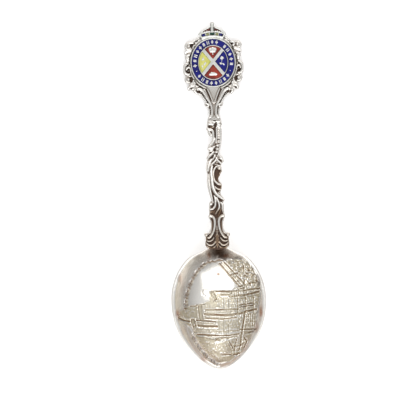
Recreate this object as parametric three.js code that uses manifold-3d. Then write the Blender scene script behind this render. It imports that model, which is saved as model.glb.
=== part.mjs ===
// Silver souvenir teaspoon with a rococo stem and an enamelled badge as its finial.
//
// Frame, in millimetres: the spoon lies on the plane z = 0 as on a table. +Y runs along its
// length towards the crown, +X is to the right of someone looking down at it, +Z is up.
// It rests on the belly of the bowl and on the flat back of the finial, and the stem arches
// between them.

import * as THREE from 'three';
import { mergeVertices } from 'three/addons/utils/BufferGeometryUtils.js';
import Module from 'manifold-3d';

const wasm = await Module();
wasm.setup();

// ---------------------------------------------------------------- driving dimensions

const LENGTH = 127;              // crown ball to bowl tip
const END = LENGTH / 2;

// Bowl
const BOWL_WIDTH = 34.4;
const BOWL_LENGTH = 45.2;
const BOWL_WIDEST = -38;         // Y of the widest place
const BOWL_CENTRE = -40;         // Y of the deepest place
const BOWL_DEPTH = 8.0;
const BOWL_WALL = 1.0;
const LIP_WIDTH = 1.3;
const LIP_THICKNESS = 0.75;
const LIP_SWELL = 0.15;          // how far the lip rises above its inner edge
const TIP_TAPER = 0.25;          // how much the tip is narrower than an ellipse
const TIP_POWER = 2.8;
const WALL_POWER = 2.3;
const SHEER = 0.5;               // rise of the rim at both ends
const SHOULDER_DIP = 1.0;        // how far the outline drops below an ellipse beside the neck
const SHOULDER_AT = 6.6;         // X of that place
const SHOULDER_SPREAD = 3.8;

// Tongue that the stem is soldered on
const TONGUE_TOP = 9.8;
const TONGUE_THICKNESS = 1.3;
const TONGUE_WIDTH = 5.0;
const TONGUE_FRONT = -13.6;      // Y of its free end
const TONGUE_ROOT = -19.2;       // Y of its end inside the rim of the bowl

// Stem
const SEAM = 27.5;               // Y of the seam between stem and finial
const SEAM_HEIGHT = 1.9;         // centre of the section there
const NECK_HEIGHT = 10.9;        // centre of the section above the bowl
const NECK_Y = -14;
const FAN_END = -19.85;
const FAN_THICKNESS = 1.3;
const CORE_LOW = -0.75;          // underside of the stem's body, from its spine
const CORE_HIGH = 0.35;
const CORE_CHAMFER = 0.35;
const STRAND_LIFT = 0.45;        // middle of the scrolls above the spine
const NECK_LIFT = 0.4;           // the same where the stem widens into the fan
const BEAD_HEIGHT = 0.55;        // half-height of the beads
const KNOB = { x: 3.9, y: -14.5, radii: [0.75, 0.75, 0.8] };

// Finial
const FRAME_THICKNESS = 2.0;
const BADGE_CENTRE = new THREE.Vector2(0.1, 48.5);
const BADGE_RIM = new THREE.Vector2(8.35, 9.15);
const RING_OUTER = new THREE.Vector2(7.85, 8.65);
const RING_INNER = new THREE.Vector2(5.6, 6.45);
const FIELD = new THREE.Vector2(5.2, 6.05);
const PLATE_THICKNESS = 1.4;
const CELL_DEPTH = 0.7;
const ENAMEL_THICKNESS = 0.6;
const CELL_GAP = 0.02;           // between an enamel fill and the wall of its cell
const SALTIRE_HALF_WIDTH = 0.62;
const STUD_RADIUS = 0.5;
const BADGE_CLEARANCE = 0.3;     // between the applied badge and the scrolls around it
const BALL_RADIUS = 0.85;        // of the ball on the crown
const POST_HALF_WIDTH = 0.45;    // of the post under it

// ---------------------------------------------------------------- solids

// Merges the vertices of a closed geometry, drops collapsed triangles and turns it outwards.
function welded(geometry) {
  const source = geometry.index ? geometry.toNonIndexed() : geometry;
  const bare = new THREE.BufferGeometry();
  bare.setAttribute('position', source.getAttribute('position').clone());
  const merged = mergeVertices(bare, 1e-4);
  const position = merged.getAttribute('position');
  const index = merged.index.array;
  const kept = [];
  let volume = 0;
  const [a, b, c] = [new THREE.Vector3(), new THREE.Vector3(), new THREE.Vector3()];
  for (let i = 0; i < index.length; i += 3) {
    const [p, q, r] = [index[i], index[i + 1], index[i + 2]];
    if (p === q || q === r || r === p) continue;
    kept.push(p, q, r);
    a.fromBufferAttribute(position, p);
    b.fromBufferAttribute(position, q);
    c.fromBufferAttribute(position, r);
    volume += a.dot(b.cross(c));
  }
  if (volume < 0) {
    kept.reverse();
  }
  merged.setIndex(kept);
  return merged;
}

function solid(geometry) {
  const closed = welded(geometry);
  return new wasm.Manifold(new wasm.Mesh({
    numProp: 3,
    vertProperties: new Float32Array(closed.getAttribute('position').array),
    triVerts: new Uint32Array(closed.index.array),
  }));
}

function geometryOf(manifold) {
  const mesh = manifold.getMesh();
  const geometry = new THREE.BufferGeometry();
  geometry.setAttribute('position', new THREE.BufferAttribute(new Float32Array(mesh.vertProperties), 3));
  geometry.setIndex(new THREE.BufferAttribute(new Uint32Array(mesh.triVerts), 1));
  return geometry;
}

function join(solids) {
  return solids.reduce((whole, next) => whole.add(next));
}

function box(low, high) {
  const size = high.map((value, axis) => value - low[axis]);
  const geometry = new THREE.BoxGeometry(...size);
  geometry.translate(...low.map((value, axis) => value + size[axis] / 2));
  return solid(geometry);
}

// A flat shape in the XY plane, thickened from z = low to z = high.
function slab(shape, low, high, curveSegments = 12) {
  const geometry = new THREE.ExtrudeGeometry(shape, {
    depth: high - low,
    bevelEnabled: false,
    curveSegments,
  });
  geometry.translate(0, 0, low);
  return solid(geometry);
}

// A flattened ball: radii along X, Y and Z about a centre.
function pearl(centre, radii, segments = 8) {
  const geometry = new THREE.SphereGeometry(1, segments, Math.max(4, Math.round(segments * 0.6)));
  geometry.rotateX(Math.PI / 2);
  geometry.scale(...radii);
  geometry.translate(...centre);
  return solid(geometry);
}

// A scroll strand: a cylinder bent along a curve through the points [x, y, z], with a half-width
// that runs through the list of widths and a half-height of flatness times that. Its ends round off.
function strand(points, widths, { flatness = 0.9, steps = points.length + 3, sides = 6 } = {}) {
  const curve = new THREE.CatmullRomCurve3(points.map((p) => new THREE.Vector3(...p)), false, 'centripetal');
  const geometry = new THREE.CylinderGeometry(1, 1, 1, sides, steps);
  const position = geometry.getAttribute('position');
  const up = new THREE.Vector3(0, 0, 1);
  for (let i = 0; i < position.count; i += 1) {
    const t = THREE.MathUtils.clamp(position.getY(i) + 0.5, 0, 1);
    const along = t * (widths.length - 1);
    const low = Math.min(Math.floor(along), widths.length - 2);
    const width = THREE.MathUtils.lerp(widths[low], widths[low + 1], along - low);
    const nearEnd = Math.min(t, 1 - t) * steps;
    const radius = width * (nearEnd < 0.5 ? 0.6 : 1);
    const tangent = curve.getTangentAt(t);
    const side = new THREE.Vector3().crossVectors(tangent, up).normalize();
    const lift = new THREE.Vector3().crossVectors(side, tangent);
    const spot = curve.getPointAt(t);
    spot.addScaledVector(side, position.getX(i) * radius);
    spot.addScaledVector(lift, position.getZ(i) * radius * flatness);
    position.setXYZ(i, spot.x, spot.y, spot.z);
  }
  return solid(geometry);
}

function mirrored(points) {
  return points.map(([x, ...rest]) => [-x, ...rest]);
}

// ---------------------------------------------------------------- outlines of the badge

function ellipse(centre, radii, grow = 0) {
  const shape = new THREE.Shape();
  shape.absellipse(centre.x, centre.y, radii.x + grow, radii.y + grow, 0, Math.PI * 2, false, 0);
  return shape;
}

function polygon(points) {
  return new THREE.Shape(points.map(([x, y]) => new THREE.Vector2(x, y)));
}

const CROWN_SHOULDER = new THREE.Vector2(4.9, 59.3);
const CROWN_TOP = 61.6;
const CROWN_FOOT = 57.0;

function crownOutline(grow = 0) {
  const shape = new THREE.Shape();
  shape.moveTo(-3.9 - grow, CROWN_FOOT);
  shape.lineTo(3.9 + grow, CROWN_FOOT);
  shape.lineTo(CROWN_SHOULDER.x + grow, CROWN_SHOULDER.y);
  shape.quadraticCurveTo(3.6, 60.9 + grow, 1.1, CROWN_TOP + grow);
  shape.lineTo(-1.1, CROWN_TOP + grow);
  shape.quadraticCurveTo(-3.6, 60.9 + grow, -CROWN_SHOULDER.x - grow, CROWN_SHOULDER.y);
  shape.closePath();
  return shape;
}

// One arch panel of the crown; side is -1 or 1.
function crownPanel(side, grow = 0) {
  const corners = [
    [0.75 - grow, 59.75 - grow],
    [3.9 + grow, 59.35 - grow],
    [3.9 + grow, 60.0 + grow],
    [0.75 - grow, 61.2 + grow],
  ];
  const points = corners.map(([x, y]) => [x * side, y]);
  return polygon(side < 0 ? points.reverse() : points);
}

// The jewels on the crown's band, as their centre and half-sizes.
const JEWELS = {
  left_blue: { at: [-3.15, 58.45], half: [0.58, 0.38] },
  left_yellow: { at: [-1.69, 58.85], half: [0.48, 0.32] },
  centre_green: { at: [0.02, 58.98], half: [0.85, 0.36] },
  right_yellow: { at: [1.72, 58.85], half: [0.48, 0.32] },
  right_blue: { at: [3.15, 58.5], half: [0.58, 0.38] },
};

function jewelOutline({ at: [x, y], half: [w, h] }, grow = 0) {
  const cut = 0.35;
  const [a, b] = [w + grow, h + grow];
  return polygon([
    [x - a, y - b * cut], [x - a * cut, y - b], [x + a * cut, y - b], [x + a, y - b * cut],
    [x + a, y + b * cut], [x + a * cut, y + b], [x - a * cut, y + b], [x - a, y + b * cut],
  ]);
}

// The angles, in degrees from +X, of the reserved silver studs in the blue ring.
const UPPER_STUDS = { first: -5, count: 15, step: 13.8, without: 5 };
const LOWER_STUDS = { first: 220, count: 8, step: 14.4 };
const SIDE_STUDS = [204, 336];

function studPlaces() {
  const angles = [...SIDE_STUDS];
  for (let i = 0; i < UPPER_STUDS.count; i += 1) {
    if (i !== UPPER_STUDS.without) angles.push(UPPER_STUDS.first + i * UPPER_STUDS.step);
  }
  for (let i = 0; i < LOWER_STUDS.count; i += 1) {
    angles.push(LOWER_STUDS.first + i * LOWER_STUDS.step);
  }
  const middle = RING_OUTER.clone().add(RING_INNER).multiplyScalar(0.5);
  return angles.map((degrees) => {
    const angle = THREE.MathUtils.degToRad(degrees);
    return [BADGE_CENTRE.x + middle.x * Math.cos(angle), BADGE_CENTRE.y + middle.y * Math.sin(angle)];
  });
}

// A stud is a small lozenge.
function stud([x, y], grow, low, high) {
  const r = STUD_RADIUS + grow;
  return slab(polygon([[x - r, y], [x, y - r], [x + r, y], [x, y + r]]), low, high);
}

// A quadrant of the field inside the saltire; turn is the direction of its arc in degrees.
function quadrant(turn, grow = 0) {
  const shape = new THREE.Shape();
  const reach = Math.hypot(FIELD.x, FIELD.y);
  const slope = Math.atan2(FIELD.y * 0.8, FIELD.x * 0.8);
  const opening = turn % 180 === 0 ? slope : Math.PI / 2 - slope;
  const facing = THREE.MathUtils.degToRad(turn);
  const setBack = (SALTIRE_HALF_WIDTH - grow) / Math.sin(opening);
  const apex = [BADGE_CENTRE.x + setBack * Math.cos(facing), BADGE_CENTRE.y + setBack * Math.sin(facing)];
  shape.moveTo(...apex);
  for (const hand of [-1, 1]) {
    const angle = facing + hand * opening;
    shape.lineTo(apex[0] + reach * Math.cos(angle), apex[1] + reach * Math.sin(angle));
  }
  shape.closePath();
  return shape;
}

function quadrantSolid(turn, grow, low, high) {
  return slab(quadrant(turn, grow), low, high).intersect(slab(ellipse(BADGE_CENTRE, FIELD, grow), low, high));
}

// Small reserved ornaments that stand in the quadrants: a round tree above, a sprig on the right,
// a mound below and a trefoil on the left. Each is a list of [x, y, radius along X, radius along Y].
const ORNAMENTS = {
  90: [[0, 52.9, 1.25, 0.95], [0.05, 51.6, 0.3, 0.7]],
  0: [[3.3, 50.1, 0.65, 0.65], [3.25, 48.9, 0.22, 0.9], [3.2, 48.0, 0.95, 0.42]],
  270: [[0, 44.3, 1.8, 0.5]],
  180: [[-3.7, 49.7, 0.5, 0.6], [-2.8, 48.4, 0.6, 0.5], [-3.7, 47.2, 0.5, 0.6]],
};

function ornament(turn, grow, low, high) {
  return join(ORNAMENTS[turn].map(([x, y, rx, ry]) => {
    const outline = ellipse(new THREE.Vector2(x, y), new THREE.Vector2(rx, ry), grow);
    return slab(outline, low, high, 4);
  }));
}

// ---------------------------------------------------------------- bowl

// The egg outline, as the point of the outer lip edge in the direction phi.
function outlinePoint(phi) {
  const toTip = Math.sin(phi) < 0;
  const reach = toTip ? BOWL_WIDEST + END : BOWL_LENGTH - (BOWL_WIDEST + END);
  const taper = toTip ? 1 - TIP_TAPER * Math.abs(Math.sin(phi)) ** TIP_POWER : 1;
  const x = (BOWL_WIDTH / 2) * Math.cos(phi) * taper;
  const beside = (Math.abs(x) - SHOULDER_AT) / SHOULDER_SPREAD;
  const dip = toTip ? 0 : SHOULDER_DIP * Math.exp(-(beside ** 2)) * Math.sin(phi) ** 2;
  return new THREE.Vector2(x, BOWL_WIDEST + reach * Math.sin(phi) - dip);
}

function bowlProfile() {
  const inner = 1 - LIP_WIDTH / (BOWL_WIDTH / 2);
  const outer = 1 - (LIP_WIDTH * 0.35) / (BOWL_WIDTH / 2);
  const rim = BOWL_DEPTH + BOWL_WALL;
  const rings = 9;
  const profile = [];
  for (let i = 0; i <= rings; i += 1) {
    const u = i / rings;
    profile.push(new THREE.Vector2(inner * u, BOWL_WALL + BOWL_DEPTH * u ** WALL_POWER));
  }
  profile.push(new THREE.Vector2((inner + 1) / 2, rim + LIP_SWELL));
  profile.push(new THREE.Vector2(1, rim));
  profile.push(new THREE.Vector2(1, rim - LIP_THICKNESS / 2));
  for (let i = rings; i >= 0; i -= 1) {
    const u = i / rings;
    profile.push(new THREE.Vector2(outer * u, (rim - LIP_THICKNESS) * u ** WALL_POWER));
  }
  return profile;
}

function bowl() {
  const geometry = new THREE.LatheGeometry(bowlProfile(), 44);
  const position = geometry.getAttribute('position');
  for (let i = 0; i < position.count; i += 1) {
    const radius = Math.hypot(position.getX(i), position.getZ(i));
    const edge = outlinePoint(Math.atan2(position.getZ(i), position.getX(i)));
    const y = BOWL_CENTRE + radius * (edge.y - BOWL_CENTRE);
    const sheer = SHEER * ((y - BOWL_CENTRE) / (BOWL_LENGTH / 2)) ** 2 * radius;
    position.setXYZ(i, radius * edge.x, y, position.getY(i) + sheer);
  }
  const half = TONGUE_WIDTH / 2;
  const tongue = box([-half, TONGUE_ROOT, TONGUE_TOP - TONGUE_THICKNESS], [half, TONGUE_FRONT, TONGUE_TOP]);
  return join([solid(geometry), tongue]);
}

// ---------------------------------------------------------------- stem

// Height of the middle of the stem at a place along it: an S-curve from the finial to the neck.
function spine(y) {
  return THREE.MathUtils.mapLinear(
    THREE.MathUtils.smoothstep(SEAM - y, 0, SEAM - NECK_Y), 0, 1, SEAM_HEIGHT, NECK_HEIGHT,
  );
}

function onStem(points, lift = 0) {
  return points.map(([x, y]) => [x, y, spine(y) + lift]);
}

// Edges of the stem as [y, left x, right x].
const STEM_EDGES = [
  [28.5, -2.6, 2.6], [26, -2.8, 2.95], [25.2, -2.85, 2.6], [23.9, -2.15, 2.4], [22.4, -1.75, 2.45],
  [20.8, -0.95, 2.45], [19.2, -1.35, 2.3], [17, -2.95, 1.9], [16.2, -2.45, 1.75], [14.8, -2.5, 1.65],
  [13.6, -3, 2.2], [12.4, -3.1, 3.3], [11.4, -3, 2.4], [9.4, -3.4, 2.4], [8.2, -3.35, 2.1],
  [7, -2.9, 1.6], [5.6, -2.85, 1.05], [4, -2.85, 2.3], [2.2, -2.8, 2.15], [0.8, -2.5, 1.8],
  [-0.6, -2.1, 2.3], [-1.8, -1.85, 3.1], [-2.6, -2.5, 2.7], [-4, -2.8, 2.55], [-6.2, -2.8, 2.6],
  [-7.8, -3.15, 3.2], [-9.2, -2.35, 2.35], [-10.6, -2.05, 1.95], [-12, -2.15, 2.05], [-13.5, -3.2, 3.1],
];

// The body that the scrolls stand on: a plate with chamfered rims that follows the spine.
function stemCore() {
  const positions = [];
  const index = [];
  const half = (CORE_LOW + CORE_HIGH) / 2;
  for (const [y, left, right] of STEM_EDGES) {
    const z = spine(y);
    positions.push(left, y, z + half);
    positions.push(left + CORE_CHAMFER, y, z + CORE_LOW);
    positions.push(right - CORE_CHAMFER, y, z + CORE_LOW);
    positions.push(right, y, z + half);
    positions.push(right - CORE_CHAMFER, y, z + CORE_HIGH);
    positions.push(left + CORE_CHAMFER, y, z + CORE_HIGH);
  }
  const corners = 6;
  for (let row = 0; row < STEM_EDGES.length - 1; row += 1) {
    for (let j = 0; j < corners; j += 1) {
      const a = row * corners + j;
      const b = row * corners + ((j + 1) % corners);
      index.push(a, b, b + corners, a, b + corners, a + corners);
    }
  }
  const last = (STEM_EDGES.length - 1) * corners;
  for (let j = 1; j < corners - 1; j += 1) {
    index.push(0, j + 1, j, last, last + j, last + j + 1);
  }
  const geometry = new THREE.BufferGeometry();
  geometry.setAttribute('position', new THREE.Float32BufferAttribute(positions, 3));
  geometry.setIndex(index);
  return solid(geometry);
}

// The long bright bands, the short ridges and the leaf tips, as [path, widths].
const STEM_STRANDS = [
  [[[-2.5, 25.75], [-1.6, 26.2], [-0.5, 25.95], [0, 26.3]], [0.35, 0.62, 0.5, 0.3]],
  [[[-2.65, 26.9], [-1.4, 27.1], [-0.2, 26.8], [0.5, 26.4]], [0.26, 0.34, 0.36, 0.3]],
  [[[0.3, 27.1], [1.4, 26.95], [2.5, 26.7]], [0.26, 0.34, 0.2]],
  [[[0.7, 26.5], [1.5, 26], [2.3, 25.5]], [0.3, 0.38, 0.26]],
  [[[0.6, 25.5], [1.5, 25.1], [2.3, 24.8]], [0.32, 0.4, 0.3]],
  [[[-2.75, 25.2], [-2.3, 24.35], [-1.2, 24.15], [-0.62, 23.4], [-0.7, 22.4], [-0.82, 21.5],
    [-0.5, 20.6]], [0.28, 0.32, 0.36, 0.34, 0.32, 0.3, 0.22]],
  [[[0.75, 24.6], [0.85, 23.2], [0.8, 21.6], [0.62, 20.2]], [0.3, 0.3, 0.3, 0.26]],
  [[[2.12, 24.6], [2.2, 23.2], [2.18, 21.4], [2.1, 19.8], [1.9, 18.4], [1.7, 17.2], [1.5, 16.4]],
    [0.24, 0.26, 0.26, 0.24, 0.22, 0.2, 0.15]],
  [[[0.2, 21.3], [0, 20.2], [-0.55, 19.2], [-1.35, 18.3], [-2.3, 17.5]], [0.2, 0.26, 0.3, 0.3, 0.3]],
  [[[-2.85, 17.1], [-2.2, 17], [-1.3, 17.2], [-0.4, 17.5], [0, 18.2]], [0.3, 0.36, 0.4, 0.36, 0.24]],
  [[[-0.5, 16.7], [-1.2, 16.35], [-2.3, 15.9]], [0.32, 0.34, 0.18]],
  [[[-0.3, 16.1], [-0.9, 15.3], [-1.7, 14.5], [-2.5, 13.7], [-3, 12.9]], [0.26, 0.36, 0.4, 0.36, 0.22]],
  [[[1.35, 15.6], [1.35, 14.5], [2, 13.85], [2.9, 13.25]], [0.2, 0.26, 0.28, 0.18]],
  [[[1.3, 13.6], [2.1, 13.1], [3.1, 12.6]], [0.18, 0.26, 0.2]],
  [[[0.45, 14.1], [0.5, 13.1], [1, 12.4], [1.7, 11.8], [2.35, 11.3]], [0.25, 0.32, 0.34, 0.3, 0.2]],
  [[[0.35, 13.2], [-0.1, 12.3], [-0.8, 11.6], [-1.5, 10.9], [-1.7, 10.2]], [0.22, 0.3, 0.34, 0.34, 0.22]],
  [[[0.15, 11.7], [0.6, 11.95], [1.1, 11.7]], [0.2, 0.3, 0.18]],
  [[[-1, 13.4], [-1.7, 12.4], [-2.2, 11.3], [-2.5, 10.2], [-2.7, 9.2], [-2.9, 8.5]],
    [0.34, 0.48, 0.5, 0.5, 0.42, 0.3]],
  [[[-2.5, 7.9], [-2.45, 6.4], [-2.45, 4.6], [-2.35, 2.8], [-2.1, 1.2], [-1.75, -0.3], [-1.45, -1.8],
    [-1.1, -3.2]], [0.3, 0.42, 0.44, 0.42, 0.34, 0.28, 0.24, 0.18]],
  [[[-1.75, 9], [-1.6, 7.6], [-1.4, 6], [-1.35, 4.4], [-1.15, 3], [-0.75, 1.7], [-0.1, 0.5],
    [0.7, -0.3], [1.6, -1], [2.4, -1.5], [3.1, -1.95]],
    [0.26, 0.42, 0.56, 0.56, 0.52, 0.48, 0.48, 0.46, 0.4, 0.32, 0.18]],
  [[[1.9, 10.7], [1.1, 10.65], [0.3, 10.3], [-0.35, 9.5], [-0.7, 8.5], [-0.78, 7.4], [-0.7, 6.4],
    [-0.5, 5.5], [-0.1, 4.75], [0.6, 4.1], [1.4, 3.75], [2.3, 3.6]],
    [0.2, 0.26, 0.28, 0.3, 0.3, 0.28, 0.28, 0.28, 0.3, 0.32, 0.28, 0.18]],
  [[[2.1, 9.3], [2.05, 8.5], [1.7, 8.1]], [0.26, 0.24, 0.2]],
  [[[-0.6, 3.3], [0, 2.6], [0.7, 2.15], [1.4, 2], [2.05, 2]], [0.2, 0.26, 0.28, 0.24, 0.16]],
  [[[-0.9, 0], [-0.45, -1], [-0.33, -2.2], [-0.33, -3.3], [-0.55, -4.2], [-1.1, -4.9], [-1.9, -5.2],
    [-2.75, -5.2]], [0.2, 0.28, 0.3, 0.3, 0.32, 0.32, 0.3, 0.2]],
  [[[-0.05, -0.7], [0.4, -1.7], [0.85, -2.8], [1.05, -3.9], [0.95, -4.8], [0.45, -5.6], [-0.1, -6.4],
    [-0.4, -7.2]], [0.2, 0.28, 0.3, 0.3, 0.3, 0.28, 0.24, 0.16]],
  [[[1.3, -2.5], [1.9, -3.1], [2.25, -4], [2.25, -5], [2, -5.9]], [0.24, 0.3, 0.3, 0.26, 0.18]],
];

// Beads on the stem as [x, y, radius along X, radius along Y].
const STEM_BEADS = [
  [1.05, 18.95, 0.78, 0.42],
  [0.9, 17.9, 0.74, 0.42],
  [0.78, 16.8, 0.66, 0.44],
  [0.38, 15.6, 0.64, 0.44],
  [-0.35, 14.5, 0.48, 0.4],
  [-0.75, 13.68, 0.38, 0.34],
  [1.4, 9.72, 0.66, 0.58],
  [1.5, 7.88, 0.3, 0.3],
  [-1.9, -3.35, 0.6, 0.5],
];

// The same strand on both sides of the neck and fan.
const NECK_STRANDS = [
  [[[2.95, -7.9], [2.3, -7.6], [1.6, -7.8], [1.05, -8.4], [0.74, -9.4], [0.72, -10.4], [0.86, -11.5],
    [1.15, -12.7], [1.65, -13.9], [2.3, -14.9], [3.1, -15.5], [3.7, -15.2]],
    [0.4, 0.46, 0.4, 0.36, 0.34, 0.33, 0.34, 0.36, 0.38, 0.38, 0.34, 0.24]],
  [[[2.6, -8.9], [2.05, -9.6], [1.85, -10.6], [1.85, -11.5], [2.1, -12.5], [2.6, -13.5],
    [3.1, -14.1]], [0.18, 0.22, 0.2, 0.2, 0.22, 0.24, 0.2]],
  [[[1.05, -15.2], [1.6, -16.1], [2.4, -16.65], [3.3, -16.75], [3.95, -16.3]],
    [0.18, 0.28, 0.32, 0.28, 0.16]],
  [[[0.6, -16.5], [1.1, -17.5], [1.9, -18.15], [2.8, -18.2], [3.6, -17.7], [4.1, -17]],
    [0.18, 0.3, 0.34, 0.34, 0.3, 0.18]],
  [[[0.45, -18], [1.1, -18.9], [2, -19.3], [3.1, -19.05], [4.1, -18.3]], [0.16, 0.24, 0.26, 0.26, 0.18]],
];

function fan() {
  const edge = [[1.5, -12.6], [2.9, -13.9], [4.3, -15.4], [4.15, -16.2], [4.4, -17.4], [4.3, -18.6],
    [3.3, -19.4]];
  const outline = [...edge, [0, FAN_END], ...mirrored(edge).reverse()];
  return slab(polygon(outline.reverse()), TONGUE_TOP, TONGUE_TOP + FAN_THICKNESS);
}

// The rib along the middle of the fan.
const FAN_RIB = [[[0, -13.2], [0, -16], [0, -19]], [0.35, 0.7, 0.3]];

function stem() {
  const parts = [stemCore(), fan()];
  for (const [path, widths] of STEM_STRANDS) {
    parts.push(strand(onStem(path, STRAND_LIFT), widths));
  }
  for (const [path, widths] of NECK_STRANDS) {
    parts.push(strand(onStem(path, NECK_LIFT), widths));
    parts.push(strand(onStem(mirrored(path), NECK_LIFT), widths));
  }
  for (const [x, y, rx, ry] of STEM_BEADS) {
    parts.push(pearl([x, y, spine(y) + STRAND_LIFT], [rx, ry, BEAD_HEIGHT]));
  }
  for (const side of [-1, 1]) {
    parts.push(pearl([KNOB.x * side, KNOB.y, NECK_HEIGHT], KNOB.radii));
  }
  const [ribPath, ribWidths] = FAN_RIB;
  parts.push(strand(onStem(ribPath, NECK_LIFT), ribWidths));
  const reach = box([-10, FAN_END - 1, -5], [10, SEAM, 20]);
  const underFan = box([-10, FAN_END - 1, -5], [10, TONGUE_FRONT + 1, TONGUE_TOP]);
  return join(parts).intersect(reach).subtract(underFan);
}

// ---------------------------------------------------------------- finial frame

const FRAME_RELIEF = 2.15;       // height of the neck's ridges above the back
const SCROLL_CENTRE = 1.6;       // height of the middle of the tall scrolls at the sides
const SCROLL_FLATNESS = 2.6;     // they are this much taller than wide
const FRAME_MARGIN = 1.6;        // of the base behind the badge's rim
const PEARL_CENTRE = 1.4;        // height of the middle of the pearls at the sides
const PEARL_HEIGHT = 1.9;        // their half-height

function atHeight(points, z) {
  return points.map(([x, y]) => [x, y, z]);
}

const FRAME_STRANDS = [
  // left side, from the crown down
  [[[-4.4, 57.4], [-6.0, 57.1], [-7.4, 56.4]], [0.7, 0.7, 0.4]],
  [[[-7.6, 53.5], [-9.2, 53.2], [-10.5, 52.2]], [0.8, 0.7, 0.35]],
  [[[-8.5, 48.9], [-10.1, 47.9], [-10.35, 46.2], [-9.8, 44.8], [-8.6, 44.5], [-8.5, 45.6], [-9.2, 46.0]],
    [0.5, 0.6, 0.6, 0.5, 0.4]],
  [[[-6.6, 42.4], [-8.6, 40.8], [-8.9, 38.9]], [0.8, 0.8, 0.4]],
  [[[-5.0, 40.0], [-6.4, 39.0], [-6.2, 37.3]], [1.3, 1.1, 0.3]],
  // right side, from the crown down
  [[[4.5, 57.5], [5.8, 57.1], [6.8, 56.2]], [0.7, 0.7, 0.4]],
  [[[7.6, 53.9], [9.2, 53.6], [10.5, 52.8]], [0.8, 0.7, 0.35]],
  [[[8.9, 49.4], [10.3, 48.3], [10.6, 46.7], [10.1, 45.2], [9.0, 44.8], [8.7, 45.9], [9.4, 46.3]],
    [0.5, 0.6, 0.6, 0.5, 0.4]],
  [[[6.8, 42.4], [8.6, 40.9], [8.8, 39.2]], [0.8, 0.8, 0.4]],
  [[[5.2, 39.9], [6.6, 38.8], [6.3, 37.2]], [1.3, 1.1, 0.3]],
];

const FRAME_PEARLS = [
  [-8.65, 54.9, 1.1], [-9.1, 50.7, 0.95], [-9.0, 49.4, 0.8], [-9.1, 42.6, 1.1],
  [8.95, 55.1, 1.15], [7.4, 55.4, 0.85], [9.3, 51.2, 0.95], [9.4, 50.0, 0.8], [9.3, 42.9, 1.1],
];

const FRAME_NECK = [
  [[[6.3, 38.8], [5.2, 39], [4.1, 38.3], [3.2, 37], [2.45, 35.6], [1.75, 34.4], [1.15, 33.3],
    [0.82, 32.2], [0.72, 31], [0.7, 30], [0.85, 29.2], [1.4, 28.6], [2.25, 28.2]],
    [0.4, 0.5, 0.46, 0.42, 0.4, 0.38, 0.34, 0.32, 0.31, 0.31, 0.34, 0.42, 0.36]],
  [[[3.6, 39.2], [2.75, 37.4], [1.95, 35.6], [1.25, 34]], [0.26, 0.28, 0.26, 0.18]],
  [[[5.9, 37.5], [4.7, 36.7], [3.65, 35.5], [2.95, 34.5], [2.35, 33.9]], [0.26, 0.28, 0.26, 0.24, 0.16]],
  [[[1.3, 32.9], [2.2, 33.3], [3.1, 33.75], [3.5, 33.6]], [0.24, 0.34, 0.3, 0.16]],
];

function finialFrame() {
  const edge = [[7.4, 41.0], [7.0, 38.3], [6.1, 37.4], [4.1, 36.0], [3.0, 34.2], [3.6, 33.5], [3.5, 32.8],
    [2.5, 32.3], [1.95, 31.0], [1.85, 30.0], [2.4, 28.6], [2.65, SEAM - 0.5]];
  const neck = [...edge, ...mirrored(edge).reverse()];
  const parts = [
    slab(ellipse(BADGE_CENTRE, BADGE_RIM, FRAME_MARGIN), 0, FRAME_THICKNESS, 20),
    slab(polygon(neck.reverse()), 0, FRAME_THICKNESS),
  ];
  for (const [path, widths] of FRAME_STRANDS) {
    parts.push(strand(atHeight(path, SCROLL_CENTRE), widths, { flatness: SCROLL_FLATNESS }));
  }
  for (const [path, widths] of FRAME_NECK) {
    parts.push(strand(atHeight(path, FRAME_RELIEF), widths));
    parts.push(strand(atHeight(mirrored(path), FRAME_RELIEF), widths));
  }
  for (const [x, y, radius] of FRAME_PEARLS) {
    parts.push(pearl([x, y, PEARL_CENTRE], [radius, radius, PEARL_HEIGHT], 10));
  }
  const badgeBed = join([
    slab(ellipse(BADGE_CENTRE, BADGE_RIM, BADGE_CLEARANCE), FRAME_THICKNESS, 10, 20),
    slab(crownOutline(BADGE_CLEARANCE), FRAME_THICKNESS, 10),
  ]);
  const reach = box([-20, SEAM, 0], [20, END + 1, 10]);
  return join(parts).subtract(badgeBed).intersect(reach);
}

// ---------------------------------------------------------------- badge and enamels

const PLATE_BACK = FRAME_THICKNESS;
const PLATE_FRONT = PLATE_BACK + PLATE_THICKNESS;
const CELL_FLOOR = PLATE_FRONT - CELL_DEPTH;
const ENAMEL_TOP = CELL_FLOOR + ENAMEL_THICKNESS;
const QUADRANTS = [90, 0, 270, 180];

function ring(grow, low, high) {
  const outer = slab(ellipse(BADGE_CENTRE, RING_OUTER, grow), low, high, 20);
  return outer.subtract(slab(ellipse(BADGE_CENTRE, RING_INNER, -grow), low - 1, high + 1, 20));
}

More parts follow.
